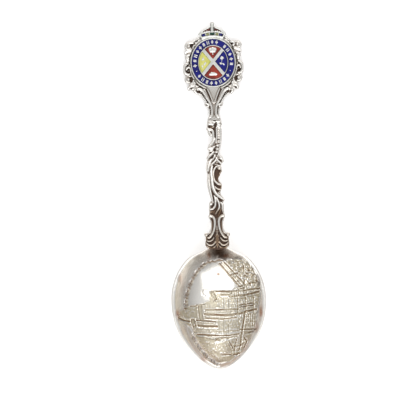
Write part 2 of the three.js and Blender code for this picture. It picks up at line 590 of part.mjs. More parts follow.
function badgePlate() {
  const blank = join([
    slab(ellipse(BADGE_CENTRE, BADGE_RIM), PLATE_BACK, PLATE_FRONT, 20),
    slab(crownOutline(), PLATE_BACK, PLATE_FRONT),
    pearl([0, END - BALL_RADIUS, (PLATE_BACK + PLATE_FRONT) / 2], Array(3).fill(BALL_RADIUS), 14),
    box(
      [-POST_HALF_WIDTH, CROWN_TOP - 0.4, PLATE_BACK + 0.1],
      [POST_HALF_WIDTH, END - BALL_RADIUS, PLATE_FRONT - 0.1],
    ),
  ]);
  const above = PLATE_FRONT + 1;
  let plate = blank.subtract(ring(0, CELL_FLOOR, above));
  for (const turn of QUADRANTS) {
    const cell = quadrantSolid(turn, 0, CELL_FLOOR, above);
    plate = plate.subtract(cell.subtract(ornament(turn, 0, CELL_FLOOR - 1, above + 1)));
  }
  for (const side of [-1, 1]) {
    plate = plate.subtract(slab(crownPanel(side), CELL_FLOOR, above));
  }
  for (const jewel of Object.values(JEWELS)) {
    plate = plate.subtract(slab(jewelOutline(jewel), CELL_FLOOR, above));
  }
  const studs = studPlaces().map((place) => stud(place, 0, CELL_FLOOR - 0.1, PLATE_FRONT));
  return join([plate, ...studs]);
}

function enamelRing() {
  const holes = studPlaces().map((place) => stud(place, CELL_GAP, CELL_FLOOR - 1, ENAMEL_TOP + 1));
  return ring(-CELL_GAP, CELL_FLOOR, ENAMEL_TOP).subtract(join(holes));
}

function enamelQuadrant(turn) {
  const fill = quadrantSolid(turn, -CELL_GAP, CELL_FLOOR, ENAMEL_TOP);
  return fill.subtract(ornament(turn, CELL_GAP, CELL_FLOOR - 1, ENAMEL_TOP + 1));
}

function enamelSlab(outline) {
  return slab(outline, CELL_FLOOR, ENAMEL_TOP);
}

// ---------------------------------------------------------------- materials and assembly

const SILVER = { color: 0xcfcac2, roughness: 0.28, metalness: 1.0 };
const BLUE = { color: 0x161c86, roughness: 0.12, metalness: 0.0 };
const RED = { color: 0x8e2417, roughness: 0.14, metalness: 0.0 };
const DARK_RED = { color: 0x6a2c1c, roughness: 0.18, metalness: 0.0 };
const YELLOW = { color: 0xdadb6c, roughness: 0.16, metalness: 0.0 };
const GREEN = { color: 0x1c4634, roughness: 0.14, metalness: 0.0 };
const PALE_YELLOW = { color: 0xb9bd72, roughness: 0.2, metalness: 0.0 };

function piece(name, manifold, finish) {
  const mesh = new THREE.Mesh(geometryOf(manifold), new THREE.MeshStandardMaterial(finish));
  mesh.name = name;
  return mesh;
}

const badge = new THREE.Group();
badge.add(
  piece('badge_plate', badgePlate(), SILVER),
  piece('enamel_ring_blue', enamelRing(), BLUE),
  piece('enamel_field_top_red', enamelQuadrant(90), RED),
  piece('enamel_field_right_blue', enamelQuadrant(0), BLUE),
  piece('enamel_field_bottom_red', enamelQuadrant(270), RED),
  piece('enamel_field_left_yellow', enamelQuadrant(180), YELLOW),
  piece('enamel_crown_left_red', enamelSlab(crownPanel(-1, -CELL_GAP)), DARK_RED),
  piece('enamel_crown_right_red', enamelSlab(crownPanel(1, -CELL_GAP)), DARK_RED),
);
const JEWEL_FINISH = {
  left_blue: BLUE,
  left_yellow: PALE_YELLOW,
  centre_green: GREEN,
  right_yellow: PALE_YELLOW,
  right_blue: BLUE,
};
for (const [name, jewel] of Object.entries(JEWELS)) {
  badge.add(piece(`enamel_jewel_${name}`, enamelSlab(jewelOutline(jewel, -CELL_GAP)), JEWEL_FINISH[name]));
}

const finial = new THREE.Group();
finial.add(piece('finial_frame', finialFrame(), SILVER), badge);

const spoon = new THREE.Group();
spoon.add(
  piece('bowl', bowl(), SILVER),
  piece('stem', stem(), SILVER),
  finial,
);

export default spoon;
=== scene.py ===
"""Silver souvenir teaspoon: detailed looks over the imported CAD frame.

Shapes are modelled in millimetres in the CAD frame (+Y towards the crown, +X right, +Z up) and turned to
metres when a mesh is made.
"""

import math

import bpy
import numpy as np
from mathutils import Matrix, Vector


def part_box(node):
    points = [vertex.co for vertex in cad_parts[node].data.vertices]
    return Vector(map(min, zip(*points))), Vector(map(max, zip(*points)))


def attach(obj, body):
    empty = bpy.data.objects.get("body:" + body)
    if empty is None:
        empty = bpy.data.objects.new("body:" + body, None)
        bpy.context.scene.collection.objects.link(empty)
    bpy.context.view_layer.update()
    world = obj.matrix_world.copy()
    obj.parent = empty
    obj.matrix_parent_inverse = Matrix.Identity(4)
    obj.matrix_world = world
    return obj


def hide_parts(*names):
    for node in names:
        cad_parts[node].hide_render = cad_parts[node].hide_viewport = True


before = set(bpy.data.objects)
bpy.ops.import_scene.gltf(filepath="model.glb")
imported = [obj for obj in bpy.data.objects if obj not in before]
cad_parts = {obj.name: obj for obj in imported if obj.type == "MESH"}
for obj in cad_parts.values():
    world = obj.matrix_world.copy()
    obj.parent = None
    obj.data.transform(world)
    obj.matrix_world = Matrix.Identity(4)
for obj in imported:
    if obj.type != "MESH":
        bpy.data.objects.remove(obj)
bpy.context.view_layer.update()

MM = 0.001
TURN = 2 * math.pi


def node_box(node):
    """Lowest and highest corner of a CAD node, in millimetres."""
    low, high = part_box(node)
    return np.array(low) / MM, np.array(high) / MM


# ---------------------------------------------------------------- driving dimensions, from the CAD frame

BOWL_LOW, BOWL_HIGH = node_box("bowl")
RING_LOW, RING_HIGH = node_box("enamel_ring_blue")
STEM_LOW, STEM_HIGH = node_box("stem")
FRAME_LOW, FRAME_HIGH = node_box("finial_frame")
PLATE_LOW, PLATE_HIGH = node_box("badge_plate")

SEAM = float(FRAME_LOW[1])          # Y of the seam between stem and finial
TIP = float(BOWL_LOW[1])            # Y of the bowl's tip
BOWL_WIDTH = float(BOWL_HIGH[0] - BOWL_LOW[0])
BOWL_LENGTH = 45.2
BOWL_WIDEST = -38.0
BOWL_CENTRE = -40.0
BOWL_DEPTH = 8.0
BOWL_WALL = 1.0
LIP_WIDTH = 1.3
TIP_TAPER, TIP_POWER = 0.25, 2.8
WALL_POWER = 2.3
SHEER = 0.5
SHOULDER_DIP = 1.0
SHOULDER_AT = 6.6
SHOULDER_SPREAD = 3.8

BADGE = ((RING_LOW + RING_HIGH) / 2)[:2]
RING_OUTER = ((RING_HIGH - RING_LOW) / 2)[:2]
RING_INNER = np.array([5.6, 6.45])
FIELD = np.array([5.2, 6.05])
PLATE_FRONT = 3.4
CELL_FLOOR = float(RING_LOW[2])
ENAMEL_TOP = float(RING_HIGH[2])

SEAM_HEIGHT, NECK_HEIGHT, NECK_Y = 1.9, 10.9, -14.0
TONGUE_TOP = 9.8


def spine(y):
    """Height of the middle of the stem at a place along it."""
    t = np.clip((SEAM - np.asarray(y, float)) / (SEAM - NECK_Y), 0, 1)
    return SEAM_HEIGHT + (NECK_HEIGHT - SEAM_HEIGHT) * t * t * (3 - 2 * t)


# ---------------------------------------------------------------- meshes from arrays


def new_object(name, verts, faces, smooth=True):
    """A mesh object from points in millimetres."""
    mesh = bpy.data.meshes.new(name)
    mesh.from_pydata((np.asarray(verts) * MM).tolist(), [], [tuple(f) for f in faces])
    mesh.validate()
    if smooth:
        mesh.shade_smooth()
    obj = bpy.data.objects.new(name, mesh)
    bpy.context.scene.collection.objects.link(obj)
    return obj


def set_attribute(obj, name, values):
    layer = obj.data.attributes.new(name, "FLOAT", "POINT")
    layer.data.foreach_set("value", np.asarray(values, np.float32))


def quads(rows, sides, closed=False, inward=False):
    """Faces between rows of points that go round; closed joins the last row to the first."""
    faces = []
    for i in range(rows if closed else rows - 1):
        here, there = i * sides, (i + 1) % rows * sides
        for j in range(sides):
            k = (j + 1) % sides
            a, b, c, d = here + j, here + k, there + k, there + j
            faces.append((a, d, c, b) if inward else (a, b, c, d))
    return faces


SPAN_POINTS = 24          # points worked out between two given ones, before the even spacing
FEWEST_RINGS = 8
RING_SPACING = 0.22


def curve_points(points, count):
    """Points evenly spaced along a smooth curve through the given ones, and the curve's length."""
    p = np.asarray(points, float)
    ends = np.vstack([2 * p[0] - p[1], p, 2 * p[-1] - p[-2]])
    knots = [0.0]
    for a, b in zip(ends[:-1], ends[1:]):
        knots.append(knots[-1] + max(math.sqrt(np.linalg.norm(b - a)), 1e-4))
    dense = []
    for i in range(1, len(ends) - 2):
        t0, t1, t2, t3 = knots[i - 1 : i + 3]
        t = np.linspace(t1, t2, SPAN_POINTS, endpoint=i == len(ends) - 3)[:, None]
        a1 = (t1 - t) / (t1 - t0) * ends[i - 1] + (t - t0) / (t1 - t0) * ends[i]
        a2 = (t2 - t) / (t2 - t1) * ends[i] + (t - t1) / (t2 - t1) * ends[i + 1]
        a3 = (t3 - t) / (t3 - t2) * ends[i + 1] + (t - t2) / (t3 - t2) * ends[i + 2]
        b1 = (t2 - t) / (t2 - t0) * a1 + (t - t0) / (t2 - t0) * a2
        b2 = (t3 - t) / (t3 - t1) * a2 + (t - t1) / (t3 - t1) * a3
        dense.append((t2 - t) / (t2 - t1) * b1 + (t - t1) / (t2 - t1) * b2)
    dense = np.vstack(dense)
    along = np.concatenate([[0], np.cumsum(np.linalg.norm(np.diff(dense, axis=0), axis=1))])
    where = np.linspace(0, along[-1], count)
    return np.stack([np.interp(where, along, dense[:, k]) for k in range(3)], axis=1), along[-1]


def tube(points, widths, flatness=0.9, sides=12):
    """A closed strand along a curve: half-width from the list of widths, half-height flatness times that."""
    _, length = curve_points(points, FEWEST_RINGS)
    count = max(FEWEST_RINGS, int(length / RING_SPACING))
    path, length = curve_points(points, count)
    share = np.linspace(0, 1, count)
    width = np.interp(share, np.linspace(0, 1, len(widths)), widths)
    from_end = np.minimum(share, 1 - share) * length
    width = width * np.sqrt(1 - (1 - np.clip(from_end / np.maximum(width, 0.05), 0, 1)) ** 2)
    tangent = np.gradient(path, axis=0)
    tangent /= np.linalg.norm(tangent, axis=1)[:, None]
    side = np.cross(tangent, [0, 0, 1])
    side /= np.maximum(np.linalg.norm(side, axis=1), 1e-6)[:, None]
    lift = np.cross(side, tangent)
    angles = np.arange(sides) * TURN / sides
    across, up = np.cos(angles), np.sin(angles)
    rings = (
        path[:, None, :]
        + (width[:, None] * across)[:, :, None] * side[:, None, :]
        + (width[:, None] * flatness * up)[:, :, None] * lift[:, None, :]
    )
    verts = np.vstack([rings[1:-1].reshape(-1, 3), path[:1], path[-1:]])
    body = count - 2
    faces = quads(body, sides)
    first, last = body * sides, body * sides + 1
    for j in range(sides):
        k = (j + 1) % sides
        faces.append((first, k, j))
        faces.append((last, (body - 1) * sides + j, (body - 1) * sides + k))
    return verts, faces


def ball(centre, radii, rings=8, sides=14):
    radii = np.broadcast_to(radii, 3)
    polar = np.linspace(0, math.pi, rings + 1)[1:-1]
    around = np.arange(sides) * TURN / sides
    grid = np.stack([np.outer(np.sin(polar), np.cos(around)), np.outer(np.sin(polar), np.sin(around)),
                     np.outer(np.cos(polar), np.ones(sides))], axis=2).reshape(-1, 3)
    verts = np.vstack([grid, [0, 0, 1], [0, 0, -1]]) * radii + centre
    faces = quads(rings - 1, sides, inward=True)
    top, bottom, last = len(grid), len(grid) + 1, (rings - 2) * sides
    for j in range(sides):
        k = (j + 1) % sides
        faces.append((top, j, k))
        faces.append((bottom, last + k, last + j))
    return verts, faces


def prism(outline, low, high):
    """An outline in the XY plane, anticlockwise, thickened between two heights."""
    outline = np.asarray(outline, float)
    n = len(outline)
    verts = np.vstack([np.c_[outline, np.full(n, low)], np.c_[outline, np.full(n, high)]])
    faces = [tuple(range(n - 1, -1, -1)), tuple(range(n, 2 * n))]
    faces += [(i, (i + 1) % n, n + (i + 1) % n, n + i) for i in range(n)]
    return verts, faces


def ellipse(centre, radii, count=96):
    angles = np.arange(count) * TURN / count
    return np.c_[centre[0] + radii[0] * np.cos(angles), centre[1] + radii[1] * np.sin(angles)]


def mirror_x(points):
    return [(-p[0], *p[1:]) for p in points]


def gathered(parts):
    verts, faces, start = [], [], 0
    for v, f in parts:
        verts.append(v)
        faces += [tuple(i + start for i in face) for face in f]
        start += len(v)
    return np.vstack(verts), faces


# ---------------------------------------------------------------- fused castings


def edge_ends(mesh):
    ends = np.empty(len(mesh.edges) * 2, np.int64)
    mesh.edges.foreach_get("vertices", ends)
    return ends[::2], ends[1::2]


def relaxed(co, ends, rounds, strength=1.0):
    """Laplacian smoothing of an array of points over a mesh's edges."""
    a, b = ends
    n = len(co)
    degree = np.maximum(np.bincount(a, minlength=n) + np.bincount(b, minlength=n), 1)[:, None]
    for _ in range(rounds):
        total = [np.bincount(a, co[b, k], n) + np.bincount(b, co[a, k], n) for k in range(3)]
        co = co + strength * (np.stack(total, axis=1) / degree - co)
    return co


def points_of(mesh, name="co"):
    values = np.empty(len(mesh.vertices) * 3, np.float32)
    if name == "co":
        mesh.vertices.foreach_get("co", values)
    else:
        mesh.vertex_normals.foreach_get("vector", values)
    return values.reshape(-1, 3).astype(float)


CAST_VOXEL, BADGE_VOXEL = 0.12, 0.09
# rounds of smoothing that a surface is compared with, for its crevices and for its broad hollows
CAVITY_ROUNDS, HOLLOW_ROUNDS = 10, 140


def cast(name, parts, voxel, clip=None, tarnish_and_shade=None):
    """Fuses overlapping closed parts into one casting, with attributes for its material.

    cavity and hollow are depths in millimetres below the surface smoothed a little and a lot, steep is 1 on
    the walls, and tarnish_and_shade is the extra darkening of a place: partly tarnish, partly painted shade.
    """
    rough = new_object(name + "_rough", *gathered(parts), smooth=False)
    rough.data.transform(Matrix.Scale(1 / MM, 4))
    remesh = rough.modifiers.new("remesh", "REMESH")
    remesh.mode = "VOXEL"
    remesh.voxel_size = voxel
    graph = bpy.context.evaluated_depsgraph_get()
    mesh = bpy.data.meshes.new_from_object(rough.evaluated_get(graph))
    rough_mesh = rough.data
    bpy.data.objects.remove(rough)
    bpy.data.meshes.remove(rough_mesh)
    mesh.name = name
    ends = edge_ends(mesh)
    co = relaxed(points_of(mesh), ends, 2, 0.6)
    if clip is not None:
        co = np.clip(co, *clip)
    mesh.vertices.foreach_set("co", co.astype(np.float32).ravel())
    mesh.update()
    normal = points_of(mesh, "normal")
    fine = np.einsum("ij,ij->i", relaxed(co, ends, CAVITY_ROUNDS) - co, normal)
    broad = np.einsum("ij,ij->i", relaxed(co, ends, HOLLOW_ROUNDS) - co, normal)
    mesh.transform(Matrix.Scale(MM, 4))
    mesh.shade_smooth()
    obj = bpy.data.objects.new(name, mesh)
    bpy.context.scene.collection.objects.link(obj)
    set_attribute(obj, "cavity", fine)
    set_attribute(obj, "hollow", broad)
    set_attribute(obj, "steep", smoothstep(0.8, 0.25, np.abs(normal[:, 2])))
    set_attribute(obj, "tarnish_and_shade", np.zeros(len(co)) if tarnish_and_shade is None else tarnish_and_shade(*co.T))
    return obj


def piece(obj, slot, material, *nodes):
    obj.data.materials.clear()
    obj.data.materials.append(material)
    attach(obj, "root")
    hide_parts(*nodes)


# ---------------------------------------------------------------- materials


class Nodes:
    """A short way to build a node tree."""

    def __init__(self, tree):
        self.tree = tree

    def add(self, kind, **settings):
        node = self.tree.nodes.new(kind)
        for key, value in settings.items():
            setattr(node, key, value)
        return node

    def link(self, a, b):
        self.tree.links.new(a, b)

    def put(self, value, socket):
        if isinstance(value, bpy.types.NodeSocket):
            self.link(value, socket)
        else:
            socket.default_value = value

    def attribute(self, name):
        return self.add("ShaderNodeAttribute", attribute_name=name).outputs["Fac"]

    def noise(self, scale, detail=4.0, roughness=0.55, stretch=None):
        node = self.add("ShaderNodeTexNoise")
        vector = self.add("ShaderNodeTexCoord").outputs["Object"]
        if stretch:
            mapping = self.add("ShaderNodeMapping")
            mapping.inputs["Scale"].default_value = stretch
            self.link(vector, mapping.inputs["Vector"])
            vector = mapping.outputs["Vector"]
        self.link(vector, node.inputs["Vector"])
        node.inputs["Scale"].default_value = scale
        node.inputs["Detail"].default_value = detail
        node.inputs["Roughness"].default_value = roughness
        return node.outputs["Fac"]

    def ramp(self, value, low, high, to_low=0.0, to_high=1.0):
        node = self.add("ShaderNodeMapRange", interpolation_type="SMOOTHSTEP")
        self.put(value, node.inputs["Value"])
        for key, number in (("From Min", low), ("From Max", high), ("To Min", to_low), ("To Max", to_high)):
            node.inputs[key].default_value = number
        return node.outputs["Result"]

    def math(self, operation, a, b=0.0, clamp=False):
        node = self.add("ShaderNodeMath", operation=operation, use_clamp=clamp)
        self.put(a, node.inputs[0])
        self.put(b, node.inputs[1])
        return node.outputs["Value"]

    def plus(self, first, *others):
        for other in others:
            first = self.math("ADD", first, other)
        return first

    def times(self, a, b, clamp=False):
        return self.math("MULTIPLY", a, b, clamp)

    def mix(self, factor, a, b):
        """Mixes two colours."""
        node = self.add("ShaderNodeMix", data_type="RGBA")
        self.put(factor, node.inputs[0])
        for value, socket in ((a, node.inputs[6]), (b, node.inputs[7])):
            self.put(value if isinstance(value, bpy.types.NodeSocket) else (*value, 1.0), socket)
        return node.outputs[2]

    def bump(self, height, distance):
        node = self.add("ShaderNodeBump")
        self.link(height, node.inputs["Height"])
        node.inputs["Distance"].default_value = distance
        node.inputs["Strength"].default_value = 1.0
        return node.outputs["Normal"]


def material(name):
    made = bpy.data.materials.new(name)
    made.use_nodes = True
    tree = Nodes(made.node_tree)
    shader = next(n for n in made.node_tree.nodes if n.type == "BSDF_PRINCIPLED")
    return made, tree, shader.inputs


# Colours of the silver where it is worn bright, filmed over, toned or tarnished; the wall colours are painted
# shade, the old-and-shaded colours are tarnish and painted shade, and the bowl's shade-and-grime colour is
# grime and a painted dark reflection.
SILVER_BRIGHT, SILVER_DULL = (0.93, 0.91, 0.87), (0.86, 0.83, 0.78)
SILVER_WARM, SILVER_OLD_AND_SHADED = (0.44, 0.39, 0.34), (0.27, 0.175, 0.105)
RIDGE, RIDGE_OLD_AND_SHADED = (0.84, 0.82, 0.78), (0.46, 0.34, 0.22)
CAST_WALL_SHADE, CAST_TARNISH = (0.20, 0.165, 0.14), (0.092, 0.050, 0.031)
BADGE_BRIGHT, BADGE_DULL = (0.82, 0.83, 0.80), (0.70, 0.71, 0.67)
BADGE_WALL_SHADE, BADGE_TARNISH = (0.24, 0.22, 0.20), (0.20, 0.15, 0.12)
GROUND_LIGHT, GROUND_DARK, GROUND_WORN = (0.73, 0.67, 0.535), (0.60, 0.545, 0.425), (0.94, 0.92, 0.87)
BOWL_TONING, BOWL_SHADE_AND_GRIME, BOWL_TARNISH = (0.50, 0.27, 0.17), (0.13, 0.085, 0.06), (0.26, 0.17, 0.11)


def cast_silver():
    """Bright ridges, a warm film on the ground between them, brown-black tarnish in the crevices and painted
    shade on the walls.
    """
    made, t, shader = material("cast_silver")
    uneven, blotch = t.noise(900.0), t.noise(260.0)
    hollow, cavity, tarnish_and_shade = t.attribute("hollow"), t.attribute("cavity"), t.attribute("tarnish_and_shade")
    patches = t.times(t.math("SUBTRACT", t.plus(uneven, blotch), 1.0), 0.09)
    # tarnish_and_shade darkens some places more: partly tarnish, partly painted shade and shadow
    film = t.ramp(t.plus(hollow, t.times(cavity, 1.5), patches, t.times(tarnish_and_shade, 0.18)), -0.33, 0.19)
    crevice = t.plus(t.times(cavity, 1.6), t.times(hollow, 0.32), t.times(patches, 0.5), t.times(tarnish_and_shade, 0.085))
    dark = t.ramp(crevice, 0.02, 0.15)
    ridge = t.mix(t.times(tarnish_and_shade, 0.38, True), RIDGE, RIDGE_OLD_AND_SHADED)
    bright = t.mix(film, ridge, t.mix(tarnish_and_shade, SILVER_WARM, SILVER_OLD_AND_SHADED))
    # the steep walls take a dark colour: painted shade
    bright = t.mix(t.times(t.attribute("steep"), 0.75), bright, CAST_WALL_SHADE)
    t.link(t.mix(dark, bright, CAST_TARNISH), shader["Base Color"])
    t.link(t.ramp(dark, 0.0, 1.0, 1.0, 0.3), shader["Metallic"])
    scratch = t.noise(2600.0, 3.0)
    polish = t.ramp(scratch, 0.3, 0.7, 0.18, 0.30)
    t.link(t.plus(polish, t.times(dark, 0.3)), shader["Roughness"])
    t.link(t.bump(t.plus(scratch, t.times(uneven, 2.0)), 0.00003), shader["Normal"])
    return made


def badge_silver():
    """Bright polished silver, darker on its outer walls with painted shade."""
    made, t, shader = material("badge_silver")
    blotch = t.noise(420.0)
    dark = t.ramp(t.plus(t.attribute("cavity"), t.times(t.math("SUBTRACT", blotch, 0.5), 0.05)), 0.02, 0.12)
    bright = t.mix(t.ramp(blotch, 0.35, 0.75), BADGE_BRIGHT, BADGE_DULL)
    # the steep walls take a dark colour: painted shade
    bright = t.mix(t.times(t.attribute("steep"), 0.8), bright, BADGE_WALL_SHADE)
    t.link(t.mix(dark, bright, BADGE_TARNISH), shader["Base Color"])
    shader["Metallic"].default_value = 1.0
    scratch = t.noise(1500.0, 5.0, 0.6, (1.0, 0.25, 1.0))
    t.link(t.ramp(scratch, 0.3, 0.7, 0.26, 0.42), shader["Roughness"])
    t.link(t.bump(scratch, 0.000015), shader["Normal"])
    return made


def bowl_silver():
    """Polished silver round a matte ground: matte is 1 in the embossed picture."""
    made, t, shader = material("bowl_silver")
    blotch, grain = t.noise(120.0), t.noise(1500.0)
    matte, cavity = t.attribute("matte"), t.attribute("cavity")
    dark = t.ramp(t.plus(cavity, t.times(t.math("SUBTRACT", grain, 0.5), 0.03)), 0.034, 0.165)
    worn = t.ramp(cavity, -0.006, -0.036)
    polished = t.mix(t.ramp(blotch, 0.35, 0.7), SILVER_BRIGHT, SILVER_DULL)
    ground = t.mix(worn, t.mix(t.ramp(grain, 0.3, 0.7), GROUND_LIGHT, GROUND_DARK), GROUND_WORN)
    colour = t.mix(matte, polished, ground)
    colour = t.mix(t.attribute("toning"), colour, BOWL_TONING)
    # shade_and_grime darkens the silver: grime, and a painted dark reflection in front of the stem and on the
    # upper walls
    colour = t.mix(t.attribute("shade_and_grime"), colour, BOWL_SHADE_AND_GRIME)
    t.link(t.mix(dark, colour, BOWL_TARNISH), shader["Base Color"])
    shader["Metallic"].default_value = 1.0
    scratch = t.noise(700.0, 6.0, 0.65, (1.0, 0.2, 1.0))
    satin = t.times(matte, t.ramp(worn, 0.0, 1.0, 0.20, 0.0))
    t.link(t.plus(t.ramp(scratch, 0.3, 0.7, 0.18, 0.26), satin), shader["Roughness"])
    t.link(t.bump(t.plus(t.times(grain, t.times(matte, 3.0)), scratch), 0.000012), shader["Normal"])
    return made


def enamel(name, deep, light):
    """Fired glass: darker towards its cell walls, from thicker glass and painted shade, with small clouds and
    pits.
    """
    made, t, shader = material(name)
    cloud = t.noise(500.0, 5.0)
    # the colour deepens towards the walls: thicker glass and painted shade
    tone = t.math("ADD", t.ramp(cloud, 0.3, 0.7, 0.0, 0.6), t.times(t.attribute("edge"), 0.7), True)
    t.link(t.mix(tone, light, deep), shader["Base Color"])
    t.link(t.ramp(t.noise(2200.0, 2.0), 0.35, 0.75, 0.10, 0.22), shader["Roughness"])
    shader["IOR"].default_value = 1.52
    shader["Specular IOR Level"].default_value = 0.28
    shader["Coat Weight"].default_value = 0.15
    t.link(t.bump(cloud, 0.00003), shader["Normal"])
    return made


CAST_SILVER = cast_silver()
BADGE_SILVER = badge_silver()
BOWL_SILVER = bowl_silver()
BLUE = enamel("enamel_blue", (0.003, 0.004, 0.09), (0.006, 0.009, 0.24))
RED = enamel("enamel_red", (0.10, 0.010, 0.007), (0.40, 0.055, 0.032))
DARK_RED = enamel("enamel_dark_red", (0.035, 0.012, 0.008), (0.16, 0.045, 0.030))
YELLOW = enamel("enamel_yellow", (0.50, 0.50, 0.10), (0.80, 0.78, 0.24))
GREEN = enamel("enamel_green", (0.004, 0.030, 0.018), (0.018, 0.10, 0.060))
PALE_YELLOW = enamel("enamel_pale_yellow", (0.22, 0.24, 0.08), (0.50, 0.52, 0.26))


# ---------------------------------------------------------------- stem

# Edges of the stem as (y, left x, right x).
STEM_EDGES = [
    (27.5, -2.6, 2.6), (26.6, -2.8, 2.8), (26.0, -2.8, 2.95), (25.2, -2.85, 2.6), (24.5, -2.5, 2.4),
    (23.9, -2.15, 2.4), (23.2, -2.0, 2.45), (22.4, -1.75, 2.45), (21.6, -1.2, 2.45), (20.8, -0.95, 2.45),
    (20.0, -0.95, 2.4), (19.2, -1.35, 2.3), (18.4, -2.0, 2.1), (17.6, -2.7, 2.0), (17.0, -2.95, 1.9),
    (16.2, -2.45, 1.75), (15.4, -2.5, 1.6), (14.8, -2.5, 1.65), (14.0, -2.9, 1.9), (13.2, -3.05, 2.7),
    (12.6, -3.1, 3.3), (12.0, -2.95, 3.2), (11.4, -3.0, 2.4), (10.4, -3.2, 2.2), (9.8, -3.3, 2.4),
    (9.0, -3.4, 2.3), (8.2, -3.35, 2.1), (7.6, -3.1, 1.8), (7.0, -2.9, 1.6), (6.4, -2.85, 1.2),
    (5.6, -2.85, 1.05), (5.0, -2.85, 1.3), (4.4, -2.85, 2.0), (3.8, -2.85, 2.35), (3.0, -2.85, 2.25),
    (2.2, -2.8, 2.15), (1.6, -2.7, 1.9), (0.8, -2.5, 1.8), (0.2, -2.4, 1.8), (-0.4, -2.15, 2.2),
    (-1.0, -1.95, 2.7), (-1.6, -1.85, 3.1), (-2.2, -1.9, 3.1), (-2.6, -2.5, 2.7), (-3.2, -2.75, 2.6),
    (-4.0, -2.8, 2.55), (-5.2, -2.9, 2.5), (-6.2, -2.8, 2.6), (-7.0, -2.85, 3.0), (-7.8, -3.15, 3.2),
    (-8.6, -2.9, 2.9), (-9.2, -2.35, 2.35), (-10.0, -2.1, 2.0), (-11.0, -2.0, 1.9), (-12.0, -2.15, 2.05),
    (-13.0, -2.5, 2.5), (-13.5, -3.2, 3.1),
]

